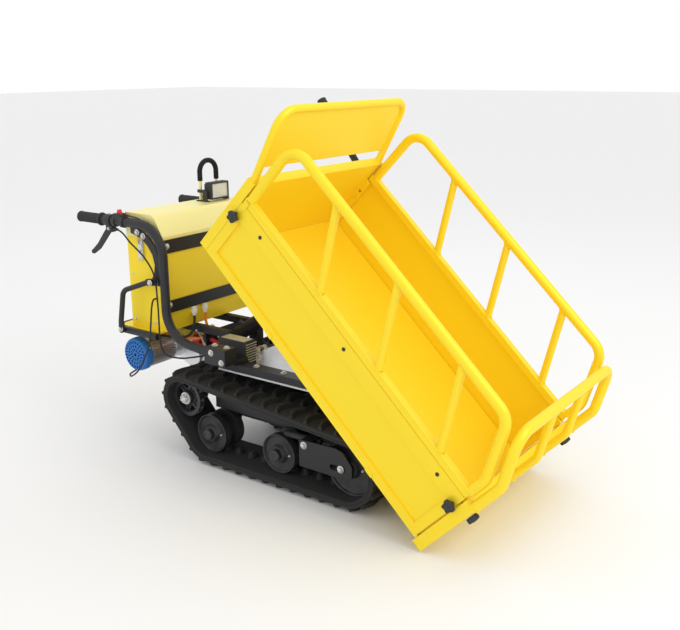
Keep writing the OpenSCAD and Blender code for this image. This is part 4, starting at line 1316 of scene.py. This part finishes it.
class BARROW_OT_handlebars(bpy.types.Operator):
    """Makes the handlebars, grips, levers and thumb switches"""

    bl_idname = "barrow.handlebars"
    bl_label = "Handlebars"

    def execute(self, context):
        sizes = context.scene.barrow_sizes
        black, plastic = finish("black_paint"), finish("black_plastic")
        route = [(-1035, BAR_Y, GRIP_Z), (-620, BAR_Y, GRIP_Z), (-620, BAR_Y, 432), (-400, BAR_Y, 414)]
        gusset = [(-776, 815), (-742, 812), (-690, 790), (-652, 752), (-641, 720), (-634, 660), (-634, 616), (-690, 613),
                  (-688, 628), (-668, 655), (-662, 690), (-671, 724), (-692, 752), (-722, 776), (-776, 792)]
        bolts = []
        for name, side in SIDES:
            bar = Shape().tube(rounded(route, 110, 16), 16, 32, side=side)
            piece("bar_" + name, bar, black, "chassis", ("handlebar_" + name,), 0.0008)
            web = Shape().prism(gusset, BAR_Y - 3, BAR_Y + 3, "xz", side=side)
            piece("gusset_" + name, web, black, "chassis", (), 0.0012)
            bolts += facing(
                [(-742, BAR_Y + 3, 797), (-712, BAR_Y + 3, 786), (-661, BAR_Y + 3, 628)], side, (0, 1, 0),
                (1, 0, 0)
            )
            ribs = []
            for k in range(sizes.grip_ribs):
                a = 8 + k * 98 / sizes.grip_ribs
                ribs += [(a, 17.6), (a + 1.2, 18.9), (a + 3.6, 18.9), (a + 4.8, 17.6)]
            grip = Shape().lathe(
                [(0, 0), (0, 14), (1.5, 17.5), (4, 20), (7, 20)] + ribs
                + [
                    (110, 18), (114, 20), (116, 23), (118, 24), (121, 24), (122, 22.5), (122, 15.9), (12, 15.9),
                    (12, 0)
                ],
                (-1046, BAR_Y, GRIP_Z), (1, 0, 0), 40, side=side)
            piece(
                "grip_" + name, grip, finish("grip_rubber"), "chassis",
                ("hand_grips",) if side > 0 else ()
            )
            clamp = Shape()
            clamp.lathe(
                [(0, 16), (0, 21), (1.5, 22), (28.5, 22), (30, 21), (30, 16)], (-900, BAR_Y, GRIP_Z), (1, 0, 0),
                40, side=side
            )
            clamp.prism(
                [
                    (-899, 822), (-868, 822), (-864, 806), (-864, 788), (-870, 785), (-874, 800), (-880, 812),
                    (-899, 812)
                ],
                BAR_Y - 9, BAR_Y + 9, "xz", side=side
            )
            for y in (BAR_Y - 10, BAR_Y + 5):
                clamp.prism(
                    [(-897, 814), (-868, 814), (-868, 790), (-878, 786), (-890, 788), (-897, 796)], y, y + 5,
                    "xz", side=side
                )
            clamp.lathe(
                [(0, 4), (0, 7), (10, 7), (14, 5), (14, 3)], (-868, BAR_Y, 797), (1, 0, 0), 20, side=side
            )
            for start, long in ((-860, 15), (-817, 15)):
                collar = Shape().lathe([(0, 15.6), (0, 19.5), (1, 20.5), (long - 1, 20.5), (long, 19.5), (long, 15.6)],
                                       (start, BAR_Y, GRIP_Z), (1, 0, 0), 40, side=side)
                for point in collar.points:
                    point.y = side * max(side * point.y, (BAR_Y - 15.5) * MM)
                clamp.join(collar)
            clamp.prism(
                [(-851, 829), (-809, 829), (-809, 850), (-813, 856), (-846, 857), (-851, 852)], BAR_Y - 14,
                BAR_Y - 8, "xz", side=side
            )
            clamp.prism(
                [(-851, 829), (-809, 829), (-809, 850), (-813, 856), (-846, 857), (-851, 852)], BAR_Y + 8, BAR_Y
                + 14, "xz", side=side
            )
            clamp.block(
                (-851, BAR_Y - 14, 829), (-842.5, BAR_Y + 14, 855), side=side
            ).block((-817.5, BAR_Y - 14, 829), (-809, BAR_Y + 14, 852), side=side)
            piece(
                "perch_" + name, clamp, plastic, "chassis",
                ("lever_perches",) if side > 0 else (), 0.0014
            )
            pins = facing(
                [(-884, BAR_Y + 10, 797)], side, (0, 1, 0), (1, 0, 0)
            ) + facing([(-885, BAR_Y, 849)], side, (0, 0, 1), (1, 0, 0))
            repeat(
                "perch_screws_" + name, bolt_shape(4.5, 3.5), pins, finish("zinc"), "chassis",
                edge=0.0004
            )
            blade = [(-876, 790), (-890, 776), (-903, 762), (-946, 716), (-982, 693.5), (-990, 694), (-993, 701), (-988, 709),
                     (-956, 736), (-915, 784), (-899, 801), (-888, 806), (-878, 803), (-875, 796)]
            lever = Shape().prism(blade, BAR_Y - 4, BAR_Y + 4, "xz", side=side)
            lever.lathe(
                [(-6.5, 0), (-6.5, 6), (-4.5, 8), (4.5, 8), (6.5, 6), (6.5, 0)], (-985, BAR_Y, 702), (0, 1, 0),
                24, side=side
            )
            lever.lathe(
                [(-4.8, 0), (-4.8, 8.5), (4.8, 8.5), (4.8, 0)], (-884, BAR_Y, 797), (0, 1, 0), 24, side=side
            )
            piece(
                "lever_" + name, lever, plastic, f"brake_lever_{name}_body",
                ("brake_lever_" + name,), 0.0022, 3
            )
        repeat("gusset_bolts", bolt_shape(8, 6), bolts, finish("zinc"), "chassis", edge=0.0006)
        for node, side in (("throttle_trigger", -1), ("direction_switch", 1)):
            y = side * BAR_Y
            rocker = Shape().prism(
                [
                    (-839, 848), (-821, 848), (-820, 854), (-824, 868), (-828, 871), (-833, 870), (-836, 866),
                    (-840, 854)
                ],
                y - 6, y + 6, "xz"
            )
            rocker.lathe([(-7.4, 0), (-7.4, 4.5), (7.4, 4.5), (7.4, 0)], (-830, y, 851), (0, 1, 0), 20)
            piece(
                "rocker_" + node, rocker, finish("red_plastic"), node + "_body", (node,), 0.0012,
                3
            )
        return {"FINISHED"}


# ---------- console ----------


class BARROW_OT_console(bpy.types.Operator):
    """Makes the battery box, its cover, the bands, latches and rear platform"""

    bl_idname = "barrow.console"
    bl_label = "Console"

    def execute(self, context):
        yellow, black, zinc = finish("yellow_paint"), finish("black_paint"), finish("zinc")
        softened(["battery_box"], "console_box", yellow, "chassis", 0.0022, 3)
        softened(["battery_lid"], "console_cover", finish("cover_paint"), "cover", 0.004, 3)
        softened(["console_bands"], "cross_bands", black, "chassis", 0.0012)
        softened(["toggle_latches"], "latch_plates", finish("steel"), "chassis", 0.0008)
        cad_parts["battery_pack"].data.materials.clear()
        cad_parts["battery_pack"].data.materials.append(finish("battery_case"))
        bolts, rivets = [], []
        for side in (1, -1):
            bolts += facing([(-634, 222, 752), (-634, 222, 541)], side, (1, 0, 0), (0, 1, 0))
            rivets += facing([(-640, 222, 600), (-640, 222, 690)], side, (1, 0, 0), (0, 1, 0))
            rivets += facing(
                [(-700, 236, 470), (-800, 236, 470), (-660, 236, 590), (-800, 236, 640)], side, (0, 1, 0),
                (1, 0, 0)
            )
            rivets += facing([(-830, 60, 786), (-830, 180, 786)], side, (-1, 0, 0), (0, 1, 0))
            catch = Shape()
            catch.tube(
                rounded([(-755, 241, 700), (-755, 247, 690), (-740, 247, 690), (-740, 241, 700)], 4, 5), 1.8,
                10, side=side
            )
            catch.tube(
                rounded([(-756, 241.5, 752), (-756, 244, 790), (-739, 244, 790), (-739, 241.5, 752)], 6, 6),
                1.6, 10, side=side
            )
            catch.prism(
                [(-760, 704), (-735, 704), (-737, 742), (-741, 752), (-754, 752), (-758, 742)], 240, 244, "xz",
                side=side
            )
            catch.lathe([(0, 0), (0, 5), (4, 5), (4, 0)], (-747, 244, 728), (0, 1, 0), 18, side=side)
            piece(
                "catch_" + ("left" if side > 0 else "right"), catch, finish("steel"), "chassis", (),
                0.0006
            )
        repeat("band_bolts", bolt_shape(8, 6), bolts, zinc, "chassis", edge=0.0006)
        rivet = Shape().lathe(
            [(0, 0), (0, 5.6), (1, 5.4), (2.6, 3.4), (3, 0)], (0, 0, 0), (0, 0, 1), 18, ORIGIN
        )
        repeat("console_rivets", rivet, rivets, zinc, "chassis", edge=0)
        sheet = [(-868, 214), (-866, 232), (-858, 247), (-844, 256), (-826, 258), (-655, 258), (-655, 120), (-672, 104), (-672, -104), (-655, -120),
                 (-655, -258), (-826, -258), (-844, -256), (-858, -247), (-866, -232), (-868, -214)]
        top = holed(sheet, [slot_outline((-690, -150), (-690, -205), 14)], 438, 444, "xy")
        plate("platform_sheet", [top], yellow, "chassis", ("platform",), 0.0012)
        rim = Shape().tube(
            rounded([(-655, 270, 432), (-880, 270, 432), (-880, -270, 432), (-655, -270, 432)], 60, 12), 12, 28
        )
        piece("platform_rim", rim, black, "chassis", (), 0.001)
        ends = []
        for name, side in SIDES:
            brace = Shape().tube(
                rounded(
                    [(-824, 287, 440), (-822, 288, 470), (-800, 288, 585), (-690, 276, 626), (-664, 274, 630)],
                    34, 8
                ),
                9.5, 20, side=side
            )
            brace.prism(slot_outline((-824, 436), (-822, 462), 12.5), 283, 291, "xz", side=side)
            brace.prism(slot_outline((-690, 626), (-660, 630), 12.5), 262, 272, "xz", side=side)
            piece(
                "brace_" + name, brace, black, "chassis", ("brace_links",) if side > 0 else (),
                0.0012
            )
            ends += facing([(-824, 291, 440), (-664, 283, 630)], side, (0, 1, 0), (1, 0, 0))
        repeat("brace_bolts", bolt_shape(8, 6), ends, zinc, "chassis", edge=0.0006)
        return {"FINISHED"}


class BARROW_OT_lamp(bpy.types.Operator):
    """Makes the work lamp with its arch, foam grip and reflector"""

    bl_idname = "barrow.lamp"
    bl_label = "Lamp"

    def execute(self, context):
        black = finish("black_plastic")
        x, z, top = -748, 898, 860
        feet = Shape().block((x - 46, 90, top), (x + 14, 104, top + 4)).block(
            (x - 46, 196, top), (x + 14, 210, top + 4)
        )
        for y in (90, 206):
            feet.prism(
                [
                    (x - 14, top + 3), (x + 14, top + 3), (x + 11, top + 14), (x + 11, z), (x + 6, z + 9),
                    (x - 6, z + 9), (x - 11, z), (x - 11, top + 14)
                ],
                y, y + 4, "xz"
            )
        piece("lamp_feet", feet, black, "cover", ("lamp_bracket",), 0.001)
        arch = rounded(
            [
                (x - 36, 106, top + 2), (x - 36, 106, top + 150), (x - 36, 194, top + 150),
                (x - 36, 194, top + 2)
            ],
            43, 14
        )
        piece(
            "lamp_arch", Shape().tube(arch, 6, 24), finish("cover_paint"), "cover", (), 0.0008
        )
        foam = [p for p in arch if p.z > top + 78]
        foam = [Vector((x - 36, 106, top + 76))] + foam + [Vector((x - 36, 194, top + 76))]
        dense = smooth_route(foam, 3)
        piece("lamp_foam", Shape().tube(dense, 9.6, 24), finish("foam"), "cover", (), 0.0016, 3)
        stays = Shape()
        for y in (94.2, 199):
            stays.block((x - 42, y, z - 6), (x - 9, y + 6.8, z + 6))
        piece("lamp_stays", stays, black, "cover", (), 0.001)
        case = Shape()
        for low, high in (((103, -30), (109, 34)), ((191, -30), (197, 34))):
            case.block((x - 8, low[0], z + low[1]), (x + 26, high[0], z + high[1]))
        case.block(
            (x - 8, 108.9, z - 30), (x + 26, 191.1, z - 24)
        ).block((x - 8, 108.9, z + 28), (x + 26, 191.1, z + 34))
        case.block((x - 8, 108.9, z - 24.1), (x - 4, 191.1, z + 28.1))
        case.lathe(
            [(-61, 0), (-61, 4), (-58, 7), (-47, 7), (-47, 0)], (x, 150, z), (0, 1, 0), 20
        ).lathe([(47, 0), (47, 7), (58, 7), (61, 4), (61, 0)], (x, 150, z), (0, 1, 0), 20)
        piece("lamp_case", case, black, "lamp_head_body", ("lamp_head",), 0.0016, 3)
        fin = Shape().block((-25, -1.4, -1), (25, 1.4, 8), ORIGIN)
        places = [(at((x - 8, 108 + 7.6 * k, z + 2)), Vector((-1, 0, 0)), Vector((0, 0, 1))) for k in range(12)]
        repeat("lamp_fins", fin, places, black, "lamp_head_body", edge=0.0005)
        bowl = Shape()
        outer = [(109.2, -23.8), (190.8, -23.8), (190.8, 27.8), (109.2, 27.8)]
        inner = [(139, -6), (161, -6), (161, 10), (139, 10)]
        points = [at((x + 19, y, z + h)) for y, h in outer] + [at((x + 1, y, z + h)) for y, h in inner] + [
            at((x - 3.5, y, z + h)) for y, h in outer
        ]
        faces = [(i, (i + 1) % 4, 4 + (i + 1) % 4, 4 + i) for i in range(4)] + [(4, 5, 6, 7)]
        faces += [(8 + i, 8 + (i + 1) % 4, (i + 1) % 4, i) for i in range(4)] + [(11, 10, 9, 8)]
        piece(
            "lamp_reflector", bowl.add(points, faces), finish("reflector"), "lamp_head_body", (),
            0.0003
        )
        cell = Shape().block((x + 0.8, 138, z - 7), (x + 3.4, 162, z + 11))
        piece("lamp_cell", cell, finish("lamp_cell"), "lamp_head_body", (), 0.0004)
        lens = Shape().block((x + 20, 109.1, z - 23.9), (x + 23, 190.9, z + 27.9))
        piece("lamp_lens", lens, finish("lamp_glass"), "lamp_head_body", (), 0.0005)
        return {"FINISHED"}


class BARROW_OT_lift(bpy.types.Operator):
    """Makes the lift cylinder"""

    bl_idname = "barrow.lift"
    bl_label = "Lift cylinder"

    def execute(self, context):
        low = Vector((-560, 15, 374))
        high = TRAY @ Vector((216, 0, -40))
        high.y = 15
        way = high - low
        length = way.length
        barrel = Shape()
        barrel.lathe(
            [(-12, 8.1), (-12, 18), (-11, 19), (11, 19), (12, 18), (12, 8.1)], tuple(low), (0, 1, 0), 36
        )
        barrel.lathe(
            [(15, 0), (15, 17), (30, 17.6), (31, 26), (33, 27.8), (44, 27.8), (45, 26.6), (222, 26.6), (224, 27.9), (242, 27.9),
             (243, 26), (249, 24.6), (250, 23), (250, 14.2), (240, 14.2), (240, 20), (33, 20), (33, 0)],
            tuple(low), tuple(way), 48)
        for a, wide in ((70, 12), (196, 12)):
            side = Vector((0, 1, 0)).cross(way.normalized())
            p = low + way.normalized() * a + side * -26
            barrel.lathe(
                [(0, 0), (0, wide), (9, wide), (9, wide * 0.7), (15, wide * 0.7), (15, 0)], tuple(p),
                tuple(-side), 6
            )
        piece(
            "lift_tube", barrel, finish("black_paint"), "lift_barrel_body", ("lift_barrel",),
            0.0008
        )
        rod = Shape()
        rod.lathe(
            [
                (196, 0), (196, 19.6), (214, 19.6), (216, 14), (length - 60, 14), (length - 57, 11),
                (length - 12, 11), (length - 12, 0)
            ],
            tuple(low), tuple(way), 48
        )
        piece("lift_rod_bar", rod, finish("chrome"), "lift_rod_body", ("lift_rod",), 0.0006)
        eye = Shape().lathe(
            [(-12, 8), (-12, 16), (-11, 17), (11, 17), (12, 16), (12, 8)], tuple(high), (0, 1, 0), 36
        )
        piece("lift_rod_eye", eye, finish("zinc"), "lift_rod_body", (), 0.0005)
        pins = [
            (at((low.x, low.y - 18.4, low.z)), Vector((0, -1, 0)), Vector((1, 0, 0))),
            (at((low.x, low.y + 18.4, low.z)), Vector((0, 1, 0)), Vector((1, 0, 0)))
        ]
        repeat("lift_pin_nuts", bolt_shape(8, 6), pins, finish("zinc"), "chassis", edge=0.0006)
        return {"FINISHED"}


# ---------- tray ----------

SIDE_Y, WALL_T, WALL_H, TRAY_L = 350, 14, 230, 1087
GATE_X, GATE_T = 1087.5, 38
KNOB_Z = 178
KNOBS = {"rear": 11, "front": 1072}
GATE_KNOB = (323, 193)


def tray_bolts(places, out):
    """Bolt places in the tray's own millimetres."""
    rows = []
    for p, side in places:
        q = mirrored(p, side)
        way = mirrored(Vector(out), side)
        a, b = at(q, TRAY), at(q + way, TRAY)
        c = at(q + way.orthogonal(), TRAY)
        rows.append((a, (b - a).normalized(), (c - a).normalized()))
    return rows


class BARROW_OT_tray(bpy.types.Operator):
    """Makes the tray floor, rear wall, headboard and tipping handle"""

    bl_idname = "barrow.tray"
    bl_label = "Tray"

    def execute(self, context):
        sizes = context.scene.barrow_sizes
        yellow = finish("yellow_paint")
        softened(["tray_floor"], "tray_pan", yellow, "tray", 0.0012)
        softened(["tray_rear_wall"], "tray_back", yellow, "tray", 0.0025, 3)
        board = TRAY @ Matrix.Translation((-18, 0, 305)) @ Matrix.Rotation(-math.radians(15), 4, "Y")
        hoop = Shape().tube(
            rounded([(0, 334, -3), (0, 334, 240), (0, -334, 240), (0, -334, -3)], 60, 14), 12.5, 28, place=board
        )
        piece("headboard_hoop", hoop, yellow, "tray", ("headboard",), 0.0008)
        outline = [
            (-326, 46), (326, 46), (326, 190), (318, 212), (300, 228), (280, 236), (-280, 236), (-300, 228),
            (-318, 212), (-326, 190)
        ]
        panel = Shape().prism(outline, -2, 2, "yz", board)
        panel.block((-9, -324, 44), (1.9, 324, 47), board)
        piece("headboard_panel", panel, yellow, "tray", (), 0.0012)
        foot, way = Vector((-12, 300, 240)), Vector((-0.983, 0, 0.184))
        bar = Shape().block((-12, 280, 215), (-4, 320, 265), TRAY)
        bar.lathe([(0, 0), (0, 12.5), (312, 12.5), (312, 0)], tuple(foot), tuple(way), 28, TRAY)
        piece("tipping_bar", bar, finish("black_paint"), "tray", ("tipping_handle",), 0.0015)
        ribs = []
        for k in range(sizes.grip_ribs):
            a = 12 + k * 94 / sizes.grip_ribs
            ribs += [(a, 16.2), (a + 1.2, 17.4), (a + 3.4, 17.4), (a + 4.6, 16.2)]
        grip = Shape().lathe(
            [(0, 0), (0, 17), (1.5, 18), (5, 18), (6, 16.5)] + ribs
            + [(110, 16.4), (116, 17.4), (120, 15.5), (122, 10), (122, 0)],
            tuple(foot + way * 200), tuple(way), 40, TRAY)
        piece("tipping_grip", grip, finish("grip_rubber"), "tray")
        bolts = tray_bolts([((-12.3, y, z), 1) for y in (287, 313) for z in (221, 259)], (-1, 0, 0))
        repeat("tipping_bolts", bolt_shape(5, 4.5), bolts, finish("zinc"), "tray", edge=0.0005)
        feet = []
        for side in (1, -1):
            feet.append(([at(p, board) for p in ring((0, 334 * side, -1.5), (0, 0, 1), 13.4)], True))
        feet.append(([at((-2.4, -326 + 652 * k / 30, 44), board) for k in range(31)], False))
        for side in (1, -1):
            feet.append(([at((2.2, side * 322.6, 50 + 136 * k / 12), board) for k in range(13)], False))
        welds("headboard_welds", feet, yellow, "tray", 0.0022)
        ends = Shape()
        for side in (1, -1):
            ends.lathe(
                [(0, 0), (0, 17), (2, 17), (2, 12), (14, 12), (16, 10), (16, 0)], (520, 124, -45), (0, 1, 0),
                32, TRAY, side
            )
        piece("tray_pin_ends", ends, finish("zinc"), "tray", (), 0.0008)
        return {"FINISHED"}


class BARROW_OT_drop_sides(bpy.types.Operator):
    """Makes the drop sides with their rails"""

    bl_idname = "barrow.drop_sides"
    bl_label = "Drop sides"

    def execute(self, context):
        rail_r, strut_r = (
            r / MM for r in (context.scene.barrow_sizes.rail_radius, context.scene.barrow_sizes.strut_radius)
        )
        yellow = finish("yellow_paint")
        z, top, hoop_y = 256, 495, 338
        for name, side in SIDES:
            body = "drop_side_" + name
            softened(["side_wall_" + name], "drop_sheet_" + name, yellow, body, 0.0022, 3)
            rail = Shape()
            rail.block((2, SIDE_Y - 26, WALL_H), (TRAY_L - 6, SIDE_Y - 1, z), TRAY, side)
            piece("drop_sill_" + name, rail, yellow, body, ("side_hoop_" + name,), 0.0025, 3)
            tube = Shape().tube(
                rounded(
                    [
                        (18, hoop_y, z - 2), (18, hoop_y, top), (985, hoop_y, top), (1076, hoop_y, 318),
                        (1076, hoop_y, z - 2)
                    ],
                    62, 14
                ),
                rail_r, 32, place=TRAY, side=side)
            piece("drop_rail_" + name, tube, yellow, body, (), 0.0006)
            struts, beads = Shape(), []
            for k in range(3):
                a, b = Vector((232 + 284 * k, hoop_y, top)), Vector((372 + 284 * k, hoop_y, z - 2))
                way = (b - a).normalized()
                struts.tube([a, b], strut_r, 28, place=TRAY, side=side)
                collar = []
                for t in range(28):
                    turn = 2 * math.pi * t / 28
                    u, v = Vector((0, 1, 0)), Vector((0, 1, 0)).cross(way)
                    off = (u * math.cos(turn) + v * math.sin(turn)) * (strut_r + 0.6)
                    reach = math.sqrt(max(rail_r**2 - off.y**2, 1)) + 1
                    lower = (z + 0.9 - a.z - off.z) / way.z
                    upper = (-reach - off.z) / way.z
                    collar.append(
                        (
                            at(mirrored(a + way * lower + off, side), TRAY),
                            at(mirrored(a + way * upper + off, side), TRAY)
                        )
                    )
                beads += [([c[0] for c in collar], True), ([c[1] for c in collar], True)]
            piece("drop_struts_" + name, struts, yellow, body)
            welds("drop_welds_" + name, beads, yellow, body, 0.0024)
            tabs = Shape()
            for x in (330, 845):
                tabs.prism(
                    [(x, 0.5), (x + 30, 0.5), (x + 30, 9), (x + 25, 14), (x + 5, 14), (x, 9)], SIDE_Y - 0.2,
                    SIDE_Y + 4, "xz", TRAY, side
                )
            tabs.block((8, SIDE_Y - 0.1, 214), (26, SIDE_Y + 2.2, 250), TRAY, side)
            piece("drop_tabs_" + name, tabs, yellow, body, (), 0.001)
            hole = Shape().lathe(
                [(0, 0), (0, 6), (1.1, 6.2), (1.6, 5), (0.6, 4.4), (0.5, 0)], (0, 0, 0), (0, 0, 1), 20, ORIGIN
            )
            repeat(
                "drop_plugs_" + name, hole,
                tray_bolts([((x, SIDE_Y + 0.1, 205), side) for x in (120, 545, 985)], (0, 1, 0)),
                finish("black_plastic"), body, edge=0
            )
        return {"FINISHED"}


class BARROW_OT_front_gate(bpy.types.Operator):
    """Makes the front gate with its rail"""

    bl_idname = "barrow.front_gate"
    bl_label = "Front gate"

    def execute(self, context):
        rail_r, strut_r = (
            r / MM for r in (context.scene.barrow_sizes.rail_radius, context.scene.barrow_sizes.strut_radius)
        )
        yellow = finish("yellow_paint")
        softened(["gate"], "gate_sheet", yellow, "front_gate", 0.0022, 3)
        x, top = GATE_X + 28, 487
        main = rounded(
            [
                (x, 335, 222), (x, 335, 340), (x - 78, 335, top), (x - 78, -335, top), (x, -335, 340),
                (x, -335, 222)
            ],
            58, 14
        )
        main[0].z = main[-1].z = WALL_H + 0.2
        tubes = Shape().tube(main, rail_r, 32, place=TRAY)
        piece("gate_rail", tubes, yellow, "front_gate", ("gate_hoop",), 0.0006)
        stays, beads = Shape(), []
        for y in (-107, 107):
            stays.tube(
                rounded([(x, y, WALL_H + 0.2), (x, y, 340), (x - 78, y, top)], 40, 12), strut_r, 28, place=TRAY
            )
            beads.append(([at(p, TRAY) for p in ring((x, y, WALL_H + 1.2), (0, 0, 1), strut_r + 0.8)], True))
            way = Vector((78, 0, 340 - top)).normalized()
            collar = []
            for t in range(28):
                turn = 2 * math.pi * t / 28
                off = (
                    Vector((0, 1, 0)) * math.cos(turn) + Vector((0, 1, 0)).cross(way) * math.sin(turn)
                ) * (strut_r + 0.5)
                reach = rail_r + 1.0
                ahead = math.sqrt(max(reach**2 - off.dot(Vector((0, 1, 0)).cross(way))**2, 1))
                collar.append(at(Vector((x - 78, y, top)) + way * ahead + off, TRAY))
            beads.append((collar, True))
        for y in (-335, 335):
            beads.append(([at(p, TRAY) for p in ring((x, y, WALL_H + 1.2), (0, 0, 1), rail_r + 0.8)], True))
        piece("gate_stays", stays, yellow, "front_gate")
        welds("gate_welds", beads, yellow, "front_gate", 0.0024)
        plugs = tray_bolts([((GATE_X + 2.7, y, 60), 1) for y in (-180, 180)], (1, 0, 0))
        hole = Shape().lathe(
            [(0, 0), (0, 7), (1.1, 7.2), (1.6, 6), (0.6, 5.2), (0.5, 0)], (0, 0, 0), (0, 0, 1), 20, ORIGIN
        )
        repeat("gate_plugs", hole, plugs, finish("black_plastic"), "front_gate", edge=0)
        return {"FINISHED"}


def star_shape(start, out, along):
    """A lobed knob with a rounded rim."""
    shape, points, faces = Shape(), [], []
    n = 90
    levels = [
        (3.9, 0.0, 9.6), (4.0, 0.86, 0), (5.5, 0.97, 0), (8.5, 1.0, 0), (15, 1.0, 0), (18, 0.965, 0),
        (19.6, 0.88, 0), (20.2, 0.72, 0)
    ]
    side = out.cross(along)
    for z, grow, flat in levels:
        for k in range(n):
            a = 2 * math.pi * k / n
            r = flat or (17.4 + 2.6 * math.cos(5 * a)) * grow
            points.append(start + (out * z + along * (r * math.cos(a)) + side * (r * math.sin(a))) * MM)
    for i in range(len(levels) - 1):
        for k in range(n):
            j = (k + 1) % n
            faces.append((i * n + k, i * n + j, (i + 1) * n + j, (i + 1) * n + k))
    faces.append(tuple(range(n - 1, -1, -1)))
    faces.append(tuple((len(levels) - 1) * n + k for k in range(n)))
    return shape.add(points, faces)


class BARROW_OT_knobs(bpy.types.Operator):
    """Makes the six star knobs that clamp the drop sides and the gate"""

    bl_idname = "barrow.knobs"
    bl_label = "Star knobs"

    def execute(self, context):
        black, zinc = finish("black_plastic"), finish("zinc")
        for name, side in SIDES:
            spots = {
                f"knob_{end}_{name}": ((x, side * (SIDE_Y + 0.3), KNOB_Z), (0, side, 0), 22) for end,
                x in KNOBS.items()
            }
            spots["knob_gate_" + name] = (
                (GATE_X + GATE_T + 0.3, side * GATE_KNOB[0], GATE_KNOB[1]), (1, 0, 0), GATE_T + 10
            )
            for node, (p, out, stud) in spots.items():
                start = at(p, TRAY)
                way = (at(Vector(p) + Vector(out), TRAY) - start).normalized()
                up = (at(Vector(p) + Vector((0, 0, 1)), TRAY) - start).normalized()
                head = star_shape(start, way, up)
                piece(node + "_head", head, black, node + "_body", (node,), 0)
                low = Vector(p)
                metal = Shape()
                metal.lathe(
                    [(-stud, 0), (-stud, 3.4), (-stud + 1, 4), (0, 4), (0, 9.8), (4.4, 9.8), (4.4, 0)],
                    tuple(low), out, 28, TRAY
                )
                piece(node + "_stud", metal, zinc, node + "_body", (), 0.0004)
                cap = Shape().lathe(
                    [(19.8, 0), (19.8, 8.6), (21, 8.2), (21.6, 6.5), (21.8, 0)], tuple(low), out, 28, TRAY
                )
                piece(node + "_cap", cap, black, node + "_body", (), 0.0003)
        return {"FINISHED"}


# ---------- stage ----------


class BARROW_OT_stage(bpy.types.Operator):
    """Makes the floor, the studio light and the camera"""

    bl_idname = "barrow.stage"
    bl_label = "Stage"

    def execute(self, context):
        scene = context.scene
        reach = 40.0
        mesh = bpy.data.meshes.new("studio_floor")
        mesh.from_pydata(
            [(-reach, -reach, 0), (reach, -reach, 0), (reach, reach, 0), (-reach, reach, 0)], [], [(0, 1, 2, 3)]
        )
        floor = bpy.data.materials.new("studio_floor")
        floor.use_nodes = True
        shader = floor.node_tree.nodes["Principled BSDF"]
        shader.inputs["Base Color"].default_value = (0.86, 0.86, 0.86, 1)
        shader.inputs["Roughness"].default_value = 0.75
        shader.inputs["Specular IOR Level"].default_value = 0.2
        new_object("studio_floor", mesh, [floor])
        world = bpy.data.worlds.new("studio_world")
        scene.world = world
        world.use_nodes = True
        sky = world.node_tree.nodes["Background"]
        sky.inputs["Color"].default_value = (1, 1, 1, 1)
        sky.inputs["Strength"].default_value = 1.0
        scene.view_settings.view_transform = "Standard"
        lights = (
            ("key", (3.4, -0.5, 3.2), 1.8, 42),
            ("fill", (-2.8, -2.6, 2.4), 2.6, 2),
            ("back", (-1.6, 3.2, 3.2), 2.6, 6),
            ("top", (0.4, 0.4, 4.2), 3.0, 5),
            ("strip", (1.4, -3.2, 1.2), 1.2, 1),
        )
        for name, spot, size, power in lights:
            data = bpy.data.lights.new(name, "AREA")
            data.shape, data.size, data.energy = "DISK", size, power
            lamp = bpy.data.objects.new(name, data)
            lamp.location = spot
            lamp.rotation_euler = (Vector((0, 0, 0.5)) - Vector(spot)).to_track_quat("-Z", "Y").to_euler()
            scene.collection.objects.link(lamp)
        yaw, pitch, roll = 2.1952, 0.2501, -0.0076
        data = bpy.data.cameras.new("camera")
        data.lens, data.sensor_width = 47.86, 36
        data.shift_x, data.shift_y = -0.0072, -0.0303
        camera = bpy.data.objects.new("camera", data)
        way = Vector((math.cos(yaw) * math.cos(pitch), math.sin(yaw) * math.cos(pitch), -math.sin(pitch)))
        camera.matrix_world = (
            Matrix.Translation(at((1671.6, -2365.1, 1364.4)))
            @ way.to_track_quat("-Z", "Y").to_matrix().to_4x4()
            @ Matrix.Rotation(roll, 4, "Z")
        )
        scene.collection.objects.link(camera)
        scene.camera = camera
        return {"FINISHED"}


# ---------- panel and registration ----------

OPERATORS = (
    BARROW_OT_finishes,
    BARROW_OT_belts,
    BARROW_OT_wheels,
    BARROW_OT_sprockets,
    BARROW_OT_undercarriage,
    BARROW_OT_chassis,
    BARROW_OT_drive,
    BARROW_OT_cables,
    BARROW_OT_handlebars,
    BARROW_OT_console,
    BARROW_OT_lamp,
    BARROW_OT_lift,
    BARROW_OT_tray,
    BARROW_OT_drop_sides,
    BARROW_OT_front_gate,
    BARROW_OT_knobs,
    BARROW_OT_stage,
)


class BARROW_PT_panel(bpy.types.Panel):
    """Lists the sizes, the colours and the pieces"""

    bl_idname = "BARROW_PT_panel"
    bl_label = "Tracked Barrow"
    bl_space_type = "VIEW_3D"
    bl_region_type = "UI"
    bl_category = "Barrow"

    def draw(self, context):
        for settings in (context.scene.barrow_sizes, context.scene.barrow_finishes):
            box = self.layout.box()
            for key in settings.__annotations__:
                box.prop(settings, key)
        for operator in OPERATORS:
            self.layout.operator(operator.bl_idname)


CLASSES = (SizeSettings, FinishSettings) + OPERATORS + (BARROW_PT_panel,)


def register():
    for c in CLASSES:
        bpy.utils.register_class(c)
    bpy.types.Scene.barrow_sizes = PointerProperty(type=SizeSettings)
    bpy.types.Scene.barrow_finishes = PointerProperty(type=FinishSettings)


def unregister():
    del bpy.types.Scene.barrow_finishes
    del bpy.types.Scene.barrow_sizes
    for c in reversed(CLASSES):
        bpy.utils.unregister_class(c)


def main():
    register()
    for operator in OPERATORS:
        call = operator.bl_idname.split(".")[1]
        getattr(bpy.ops.barrow, call)()
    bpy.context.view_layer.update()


if __name__ == "__main__":
    main()
